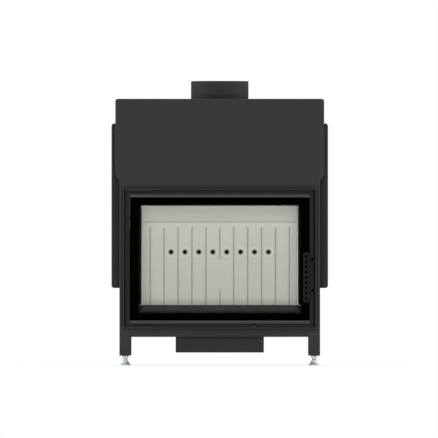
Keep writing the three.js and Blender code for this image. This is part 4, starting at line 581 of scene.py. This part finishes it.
class INSERT_OT_finishes(bpy.types.Operator):
    """Makes the finishes and gives one to every piece of the frame"""

    bl_idname = "insert.finishes"
    bl_label = "Finishes"

    def execute(self, context):
        c = context.scene.insert_finishes
        matt, satin = c.paint_roughness, c.paint_roughness - 0.04
        finishes = {
            "black_paint": heat_resistant_paint("matt_stove_paint", c.paint, matt),
            # dark_steel pieces get the darker paint, painted shade for the recessed door frame and
            # the gaps beside the door
            "dark_steel": heat_resistant_paint("shaded_stove_paint", c.shaded_trim, satin),
            "fireclay": pressed_fireclay("pressed_fireclay", c.fireclay),
            "zinc_plate": bright_zinc("bright_zinc_plate", c.zinc),
            "ceramic_glass": ceramic_glass("ceramic_glass", c.glass, c.glass_body),
            "glass_fibre": braided_fibre("graphited_glass_fibre", c.rope),
        }
        bright_zinc("pressed_zinc_pad", c.zinc, dull=0.5)
        printed_enamel("fired_black_ink")
        # pieces whose finish differs from the rest of their slot
        casing = heat_resistant_paint("casing_stove_paint", c.casing, matt)
        strip = heat_resistant_paint("satin_black_strip", c.strip, matt - 0.12, shine=0.2)
        grip = heat_resistant_paint("grip_stove_paint", c.grip, satin)
        own = {
            "side_casing_left": casing, "side_casing_right": casing,
            "glass_strip_top": strip, "glass_strip_bottom": strip,
            "handle_grip": grip, "handle_arm_top": grip, "handle_arm_bottom": grip,
            "log_guard": cast_iron("sand_cast_iron", c.iron),
            "back_lining": pressed_fireclay(
                "fluted_fireclay", c.fireclay, slab_box=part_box("back_lining")),
            # the deflector is paler partly as vermiculite and partly as painted light against the
            # shade on its downward face
            "deflector": pressed_fireclay("pressed_vermiculite", c.vermiculite),
            # the latch shaft and cams get the darker paint as painted shade in the gap beside the
            # door
            "latch_shaft": finishes["dark_steel"],
            "latch_cam_top": finishes["dark_steel"],
            "latch_cam_bottom": finishes["dark_steel"],
        }
        for name, node in frame["nodes"].items():
            slot = node.data.materials[0].name.split(".")[0] if node.data.materials else ""
            if slot not in finishes:
                raise RuntimeError(f"{name} has no known finish: {slot!r}")
            for place in node.material_slots:
                place.material = own.get(name, finishes[slot])
        return {"FINISHED"}


class INSERT_OT_flue_collar(bpy.types.Operator):
    """Turns the flue collar as one smooth ring with its eased rim"""

    bl_idname = "insert.flue_collar"
    bl_label = "Flue collar"

    def execute(self, context):
        low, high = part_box("flue_collar")
        centre = ((low.x + high.x) / 2, (low.y + high.y) / 2, 0)
        outer = (high.x - low.x) / 2
        wall, ease, rim = 3 * MM, 0.6 * MM, 1.2 * MM    # ease of the corners and of the rim
        inner = outer - wall
        profile = np.concatenate([
            [[inner, low.z], [outer - ease, low.z], [outer, low.z + ease]],
            arc(outer - rim, high.z - rim, rim, 0, 90, 7),
            arc(inner + ease, high.z - ease, ease, 90, 180, 5),
        ])
        ring = turned(profile, centre, context.scene.insert_sizes.collar_segments, closed=True)
        piece("flue_collar_turned", [ring], made("matt_stove_paint"), "carcass", sharp=50,
              replaced=["flue_collar"])
        return {"FINISHED"}


class INSERT_OT_levelling_feet(bpy.types.Operator):
    """Makes the four levelling feet, each a pressed pad with a hexagon and a threaded stud"""

    bl_idname = "insert.levelling_feet"
    bl_label = "Levelling feet"

    def execute(self, context):
        sizes = context.scene.insert_sizes
        hollow, roll = 0.4 * MM, 1.1 * MM           # under the pad, and its rolled rim
        neck, neck_top = 8.6 * MM, 12.5 * MM        # the pad's neck under the hexagon
        hexagon, hexagon_top = 7.6 * MM, 19 * MM
        stud, stud_low = 6 * MM, 15 * MM            # the stud's radius and its start
        stud_end, chamfer = 4.4 * MM, 1.6 * MM      # its bare end
        around = 28
        angle = whole_turn(around)
        for place in CORNERS:
            low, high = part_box(f"levelling_foot_{place}")
            centre = ((low.x + high.x) / 2, (low.y + high.y) / 2, low.z)
            rim = (high.x - low.x) / 2
            # the pad's skirt runs inwards from its rim and rises, faster towards the neck
            flare = np.linspace(0, 1, 14)
            skirt = np.stack([np.interp(flare, [0, 1], [rim - 1.6 * MM, 8.8 * MM]),
                              2.1 * MM + 9.9 * MM * (0.55 + 0.45 * flare) * flare], -1)
            pad = np.concatenate([
                [[0, hollow], [rim - 3 * MM, hollow], [rim - 2 * roll, 0]],
                arc(rim - roll, roll, roll, -90, 60, 7),
                skirt,
                [[neck, neck_top], [0, neck_top]],
            ])
            # thread: the radius falls by the thread's depth between crests, which climb a pitch
            # in each turn
            stud_top = high.z - low.z
            height = np.arange(stud_low, stud_top - chamfer, sizes.thread_pitch / 6)[:, None]
            turn = (height / sizes.thread_pitch - angle / (2 * np.pi)) % 1
            crest = 1 - np.abs(2 * turn - 1)
            radius = stud - sizes.thread_depth * np.clip(1.25 - 1.5 * crest, 0, 1)
            foot, shoulder, end = (swept(r, angle[None], z, centre) for r, z in (
                (1e-9, stud_low), (stud_end, stud_top), (1e-9, stud_top)))
            thread = np.concatenate([foot, swept(radius, angle, height, centre), shoulder, end])
            parts = [
                hexagon_ring(hexagon, neck_top - 0.4 * MM, hexagon_top, centre),
                (thread, square_up(len(thread), around, close_columns=True)),
            ]
            piece(f"pressed_pad_{place}", [turned(pad, centre, 72)], made("pressed_zinc_pad"),
                  f"foot_{place}", sharp=32, doubles=WELD)
            piece(f"threaded_foot_{place}", parts, made("bright_zinc_plate"), f"foot_{place}",
                  sharp=32, replaced=[f"levelling_foot_{place}"], doubles=WELD)
        return {"FINISHED"}


class INSERT_OT_lock_nuts(bpy.types.Operator):
    """Makes the four chamfered nuts that lock the feet against the legs"""

    bl_idname = "insert.lock_nuts"
    bl_label = "Lock nuts"

    def execute(self, context):
        bore = 6.3 * MM
        for place in CORNERS:
            low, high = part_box(f"lock_nut_{place}")
            centre = ((low.x + high.x) / 2, (low.y + high.y) / 2, 0)
            flat = min(high.x - low.x, high.y - low.y) / 2
            ring = hexagon_ring(flat, low.z, high.z, centre, bore=bore)
            piece(f"chamfered_nut_{place}", [ring], made("bright_zinc_plate"), "carcass",
                  sharp=28, replaced=[f"lock_nut_{place}"])
        return {"FINISHED"}


class INSERT_OT_glass_strips(bpy.types.Operator):
    """Rolls the two crowned strips that clamp the glass at its top and bottom"""

    bl_idname = "insert.glass_strips"
    bl_label = "Glass strips"

    def execute(self, context):
        pane_low, pane_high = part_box("door_glass")
        crown, bulge, steps = 1.42, 0.42, 22
        for place, way in (("top", 1), ("bottom", -1)):
            low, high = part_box(f"glass_strip_{place}")
            outer, inner = (high.z, low.z) if way > 0 else (low.z, high.z)
            edge = (pane_high.z if way > 0 else pane_low.z) + way * FIT
            # from the nose over the glass, round the crown, to the foot at the door frame: with
            # t up to the crown's 1.42 radians, z runs as sin t and y falls back as bulge x
            # depth x (1 - cos t)
            turn = np.linspace(0, 1, steps)
            z = inner + (outer - inner) * np.sin(turn * crown) / math.sin(crown)
            y = low.y + (high.y - low.y) * bulge * (1 - np.cos(turn * crown))
            nose = 0.7 * MM * np.clip(1 - np.abs(z - inner) / (0.8 * MM), 0, 1) ** 2
            # two more rows at the glass's edge, where the back steps from the pane to the frame
            at_edge = np.interp([way * edge, way * edge], way * z, y)
            z = np.concatenate([z, [edge, edge + way * 0.02 * MM]])
            y = np.concatenate([y + nose, at_edge])
            order = np.argsort(way * z, kind="stable")
            z, y = z[order], y[order]
            rear = np.where(way * (z - edge) > 0.01 * MM, high.y, pane_low.y - FIT)
            # both ends of the strip are eased back
            ease = np.array([0.5, 0.12, 0, 0, 0.12, 0.5])[:, None] * MM
            x = np.array([low.x, low.x + 0.3 * MM, low.x + 1.2 * MM,
                          high.x - 1.2 * MM, high.x - 0.3 * MM, high.x])
            z, x = np.meshgrid(z, x)
            plate = slab(np.stack([x, y + ease, z], -1), np.stack([x, rear + 0 * x, z], -1))
            piece(f"crowned_strip_{place}", [plate], made("satin_black_strip"), "door", sharp=40,
                  replaced=[f"glass_strip_{place}"])
        return {"FINISHED"}


class INSERT_OT_glass_print(bpy.types.Operator):
    """Prints the black border and its rows of dots on the back of the glass"""

    bl_idname = "insert.glass_print"
    bl_label = "Printed border"

    def execute(self, context):
        sizes = context.scene.insert_sizes
        low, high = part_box("door_glass")
        film = 0.05 * MM
        y = high.y + film
        side = high.x - sizes.border
        foot = WINDOW_BOTTOM + sizes.border_foot
        head = WINDOW_TOP - sizes.border_head
        outside = rounded_rectangle(-high.x, high.x, low.z, high.z, 2 * MM, 6)
        inside = rounded_rectangle(-side, side, foot, head, 3 * MM, 6)
        border = np.stack([np.insert(loop, 1, depth, axis=1) for loop, depth in (
            (outside, y), (inside, y), (inside, y + film), (outside, y + film))])
        parts = [(border, square_up(4, len(inside), close_rows=True, close_columns=True))]
        # dots: rows along the foot, the sides and the head, each further in; a dot's radius is
        # (largest - shrink x row) of the pitch, and every other row is set off by half a pitch.
        # The sides have one row fewer than the foot, and the head has four fewer
        pitch = sizes.dot_pitch
        centres, radii = [], []
        for edge, rows, largest, shrink in (
                ("foot", sizes.dot_rows, 0.46, 0.08),
                ("sides", sizes.dot_rows - 1, 0.40, 0.01),
                ("head", sizes.dot_rows - 4, 0.46, 0.0)):
            for row in range(rows):
                inset = (row + 0.55) * pitch * 0.8
                offset = 0.5 * (row % 2)
                if edge == "sides":
                    lowest = foot + inset + pitch * (1 + offset)
                    along = np.arange(lowest, head - inset - pitch, pitch)
                    line = np.stack([side - inset + 0 * along, y + 0 * along, along], -1)
                    spots = np.concatenate([line * [-1, 1, 1], line])
                else:
                    along = (np.arange(-400, 400) + offset) * pitch
                    along = along[np.abs(along) < side - inset - 0.1 * pitch]
                    level = foot + inset if edge == "foot" else head - inset
                    spots = np.stack([along, y + 0 * along, level + 0 * along], -1)
                centres.append(spots)
                radii.append(np.full(len(spots), pitch * (largest - shrink * row)))
        if centres:
            centres, radii = np.concatenate(centres), np.concatenate(radii)
            corners = 10
            angle = whole_turn(corners)
            circle = np.stack([np.cos(angle), 0 * angle, np.sin(angle)], -1)
            dots = centres[:, None, :] + circle * radii[:, None, None]
            thick = np.stack([dots, dots + [0, film, 0]], 1)
            cap = np.array([[0, 9, 8, 1], [1, 8, 7, 2], [2, 7, 6, 3], [3, 6, 5, 4]])
            side = square_up(2, corners, close_columns=True)
            disc = np.concatenate([side, cap, cap[:, ::-1] + corners])
            first = np.arange(len(centres))[:, None, None] * 2 * corners
            parts.append((thick, (first + disc).reshape(-1, 4)))
        piece("glass_border_print", parts, made("fired_black_ink"), "door", sharp=30)
        return {"FINISHED"}


class INSERT_OT_door_hardware(bpy.types.Operator):
    """Adds the small clips beside the glass and the screw heads on the door's stile"""

    bl_idname = "insert.door_hardware"
    bl_label = "Door hardware"

    def execute(self, context):
        sizes = context.scene.insert_sizes
        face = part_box("door_frame")[0].y
        # two slim clips over the hinge-side edge of the pane, measured down from the top strip
        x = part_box("door_glass")[0].x - 0.4 * MM
        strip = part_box("glass_strip_top")[0].z
        half = sizes.clip_width / 2
        parts = [pillow(x - half, x + half, strip - down, strip - up, face + 0.1 * MM, 0.9 * MM)
                 for down, up in ((66 * MM, 2 * MM), (104 * MM, 76 * MM))]
        piece("glass_side_clips", parts, made("matt_stove_paint"), "door", sharp=30)
        # socket screws in the stile, measured from the grip's upper right corner
        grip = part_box("handle_grip")[1]
        r = sizes.screw_head
        sunk, socket_depth = 0.2 * MM, 0.15 * MM
        profile = np.concatenate([
            [[0, socket_depth], [r * 0.42, socket_depth], [r * 0.46, 1.1 * MM]],
            arc(r * 0.55, 0.35 * MM, r * 0.45, 80, 0, 7) * [1, 0.62],
            [[r, -sunk], [0, -sunk]],
        ])
        head, quads = turned(profile, (0, 0, 0), 24)
        parts = []
        for right, down in ((9 * MM, 16 * MM), (7.5 * MM, 52 * MM)):
            parts.append((np.stack([grip.x + right + head[..., 0], face - head[..., 2],
                                    grip.z - down + head[..., 1]], -1), quads))
        piece("stile_screws", parts, made("shaded_stove_paint"), "door", sharp=40,
              doubles=WELD)
        return {"FINISHED"}


class INSERT_OT_door_rope(bpy.types.Operator):
    """Plaits the sealing rope round the back of the door"""

    bl_idname = "insert.door_rope"
    bl_label = "Door rope"

    def execute(self, context):
        sizes = context.scene.insert_sizes
        low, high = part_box("door_rope")
        radius = (high.y - low.y) / 2
        y = (low.y + high.y) / 2
        bend, spacing, around = 12 * MM, 1.2 * MM, 20
        loop = rounded_rectangle(
            low.x + radius, high.x - radius, low.z + radius, high.z - radius, bend, 16)
        path, run, total = evenly(loop, spacing)
        count = len(path)
        along = np.roll(path, -1, axis=0) - np.roll(path, 1, axis=0)
        along /= np.linalg.norm(along, axis=1, keepdims=True)
        out = np.stack([along[:, 1], -along[:, 0]], -1)
        angle = whole_turn(around)
        plaits = round(total / sizes.braid_pitch)
        wave = 2 * np.pi * plaits * run[:, None] / total
        # two families of plaits wind opposite ways, |cos(w / 2 + 2 a)| and |cos(w / 2 - 2 a)|
        # with w along the rope and a round it; the surface follows whichever lies on top
        over = np.abs(np.cos(wave / 2 + 2 * angle))
        under = np.abs(np.cos(wave / 2 - 2 * angle))
        r = radius - sizes.braid_relief * (1 - np.maximum(over, under))
        points = np.stack([
            path[:, :1] + r * np.cos(angle) * out[:, :1],
            y + r * np.sin(angle),
            path[:, 1:] + r * np.cos(angle) * out[:, 1:]], -1)
        quads = square_up(count, around, close_rows=True, close_columns=True)
        # the map runs along the rope and round it, in metres, with a corner pair per quad corner
        i, j = np.divmod(np.arange(count * around), around)
        ahead = np.append(run, total)[i + 1]
        step = 2 * np.pi * radius / around
        u = np.stack([run[i], run[i], ahead, ahead], -1)
        v = np.stack([j, j + 1, j + 1, j], -1) * step
        piece("plaited_rope", [(points, quads)], made("graphited_glass_fibre"), "door", sharp=80,
              replaced=["door_rope"], lay=np.stack([u, v], -1))
        return {"FINISHED"}


# ------------------------------------------- stage

def seen_directly(tree):
    """1 for rays from the camera, from a mirror and through glass, and 0 for the light that lies
    on things."""
    rays = add(tree, "LightPath")
    seen = add(tree, "Math", links={0: rays.outputs["Is Camera Ray"],
                                    1: rays.outputs["Is Glossy Ray"]}, operation="MAXIMUM")
    return add(tree, "Math", links={0: seen.outputs[0], 1: rays.outputs["Is Transmission Ray"]},
               operation="MAXIMUM").outputs[0]


def pale_floor_material():
    """A matt pale floor whose own light grows outwards, so that it runs into the background
    without an edge."""
    material, tree = empty_material("pale_studio_floor")
    place = add(tree, "TexCoord").outputs["Object"]
    away = add(tree, "VectorMath", links={0: place}, operation="LENGTH")
    fade = add(tree, "MapRange", {"From Min": 0.7, "From Max": 1.5, "To Min": 0.84, "To Max": 1.0},
               {"Value": away.outputs["Value"]}, interpolation_type="SMOOTHSTEP")
    part = add(tree, "Math", links={0: seen_directly(tree), 1: fade.outputs["Result"]},
               operation="MULTIPLY")
    matt = add(tree, "BsdfDiffuse", {"Color": (0.9, 0.9, 0.9, 1)})
    white = add(tree, "Emission", {"Color": (1, 1, 1, 1), "Strength": 1.0})
    both = add(tree, "MixShader",
               links={0: part.outputs[0], 1: matt.outputs[0], 2: white.outputs[0]})
    add(tree, "OutputMaterial", links={"Surface": both.outputs[0]})
    return material


class INSERT_OT_stage(bpy.types.Operator):
    """Lays the pale floor, hangs the soft lamps and sets the camera"""

    bl_idname = "insert.stage"
    bl_label = "Stage"

    def execute(self, context):
        stage = context.scene.insert_stage
        objects = context.scene.collection.objects

        # floor: rings of points round the middle, just under the feet
        rings, around = 9, 96
        r = np.linspace(0, 1, rings)[:, None] ** 0.7 * stage.floor_radius
        points = swept(r, whole_turn(around), -0.2 * MM, (0, 0, 0))
        mesh = bpy.data.meshes.new("pale_floor")
        mesh.from_pydata(points.reshape(-1, 3).tolist(), [],
                         square_up(rings, around, close_columns=True).tolist())
        work = bmesh.new()
        work.from_mesh(mesh)
        bmesh.ops.remove_doubles(work, verts=work.verts, dist=WELD)
        bmesh.ops.recalc_face_normals(work, faces=work.faces)
        if sum(f.normal.z for f in work.faces) < 0:
            bmesh.ops.reverse_faces(work, faces=work.faces)
        work.to_mesh(mesh)
        work.free()
        mesh.materials.append(pale_floor_material())
        floor = bpy.data.objects.new("pale_floor", mesh)
        objects.link(floor)

        # background: white to the camera, dim as a light
        world = bpy.data.worlds.new("pale_studio")
        world.use_nodes = True
        tree = world.node_tree
        tree.nodes.clear()
        dim = add(tree, "Background", {"Color": (1, 1, 1, 1), "Strength": stage.ambient})
        white = add(tree, "Background", {"Color": (1, 1, 1, 1), "Strength": 1.0})
        both = add(tree, "MixShader",
                   links={0: seen_directly(tree), 1: dim.outputs[0], 2: white.outputs[0]})
        add(tree, "OutputWorld", links={"Surface": both.outputs[0]})
        context.scene.world = world

        # lamps: name, power, width and height, and place; all of them look at the aim
        aim = np.array([0.0, -0.1, 0.5])
        for name, watts, size, place in (
                ("front_lamp", stage.key_power, (2.2, 0.9), (-0.15, -7.0, 1.25)),
                ("low_lamp", stage.low_power, (2.4, 0.4), (0.15, -7.0, -0.15)),
                ("top_lamp", stage.top_power, (3.0, 3.0), (0.0, -0.6, 4.2)),
                ("left_lamp", stage.side_power, (2.4, 2.4), (-4.5, -0.6, 1.7)),
                ("right_lamp", stage.side_power, (2.4, 2.4), (4.5, -0.6, 1.7)),
                ("rear_lamp", stage.rear_power, (2.4, 2.4), (0.0, 5.5, 2.0))):
            light = bpy.data.lights.new(name, "AREA")
            light.shape = "RECTANGLE"
            light.size, light.size_y = size
            light.energy = watts
            lamp = bpy.data.objects.new(name, light)
            lamp.location = place
            look = aim - np.array(place)
            yaw = math.atan2(look[0], -look[1])
            pitch = math.atan2(-look[2], math.hypot(look[0], look[1]))
            lamp.rotation_euler = (math.pi / 2 - pitch, 0, yaw + math.pi)
            objects.link(lamp)

        lens = bpy.data.cameras.new("studio_camera")
        lens.sensor_width = 36
        lens.lens = lens.sensor_width * stage.camera_distance / stage.picture_width
        lens.clip_start = 1
        lens.clip_end = 200
        camera = bpy.data.objects.new("studio_camera", lens)
        camera.location = (stage.camera_side, FRONT - stage.camera_distance, stage.camera_height)
        camera.rotation_euler = (math.pi / 2, 0, 0)
        objects.link(camera)
        context.scene.camera = camera
        context.scene.view_settings.view_transform = "Standard"
        return {"FINISHED"}


# ------------------------------------------- add-on

STEPS = (
    INSERT_OT_finishes, INSERT_OT_flue_collar, INSERT_OT_levelling_feet, INSERT_OT_lock_nuts,
    INSERT_OT_glass_strips, INSERT_OT_glass_print, INSERT_OT_door_hardware, INSERT_OT_door_rope,
    INSERT_OT_stage,
)

GROUPS = {
    "insert_finishes": INSERT_PG_finishes,
    "insert_sizes": INSERT_PG_sizes,
    "insert_stage": INSERT_PG_stage,
}


class INSERT_PT_panel(bpy.types.Panel):
    """Lists the steps and their settings in the sidebar"""

    bl_idname = "INSERT_PT_panel"
    bl_label = "Fireplace insert"
    bl_space_type = "VIEW_3D"
    bl_region_type = "UI"
    bl_category = "Insert"

    def draw(self, context):
        for group in GROUPS:
            box = self.layout.box()
            settings = getattr(context.scene, group)
            for name in settings.__annotations__:
                box.prop(settings, name)
        for step in STEPS:
            self.layout.operator(step.bl_idname)


def register():
    for name, group in GROUPS.items():
        bpy.utils.register_class(group)
        setattr(bpy.types.Scene, name, bpy.props.PointerProperty(type=group))
    for kind in (*STEPS, INSERT_PT_panel):
        bpy.utils.register_class(kind)


def unregister():
    for kind in (INSERT_PT_panel, *reversed(STEPS)):
        bpy.utils.unregister_class(kind)
    for name, group in GROUPS.items():
        delattr(bpy.types.Scene, name)
        bpy.utils.unregister_class(group)


def main():
    register()
    for step in STEPS:
        group, name = step.bl_idname.split(".")
        getattr(getattr(bpy.ops, group), name)()


if __name__ == "__main__":
    main()
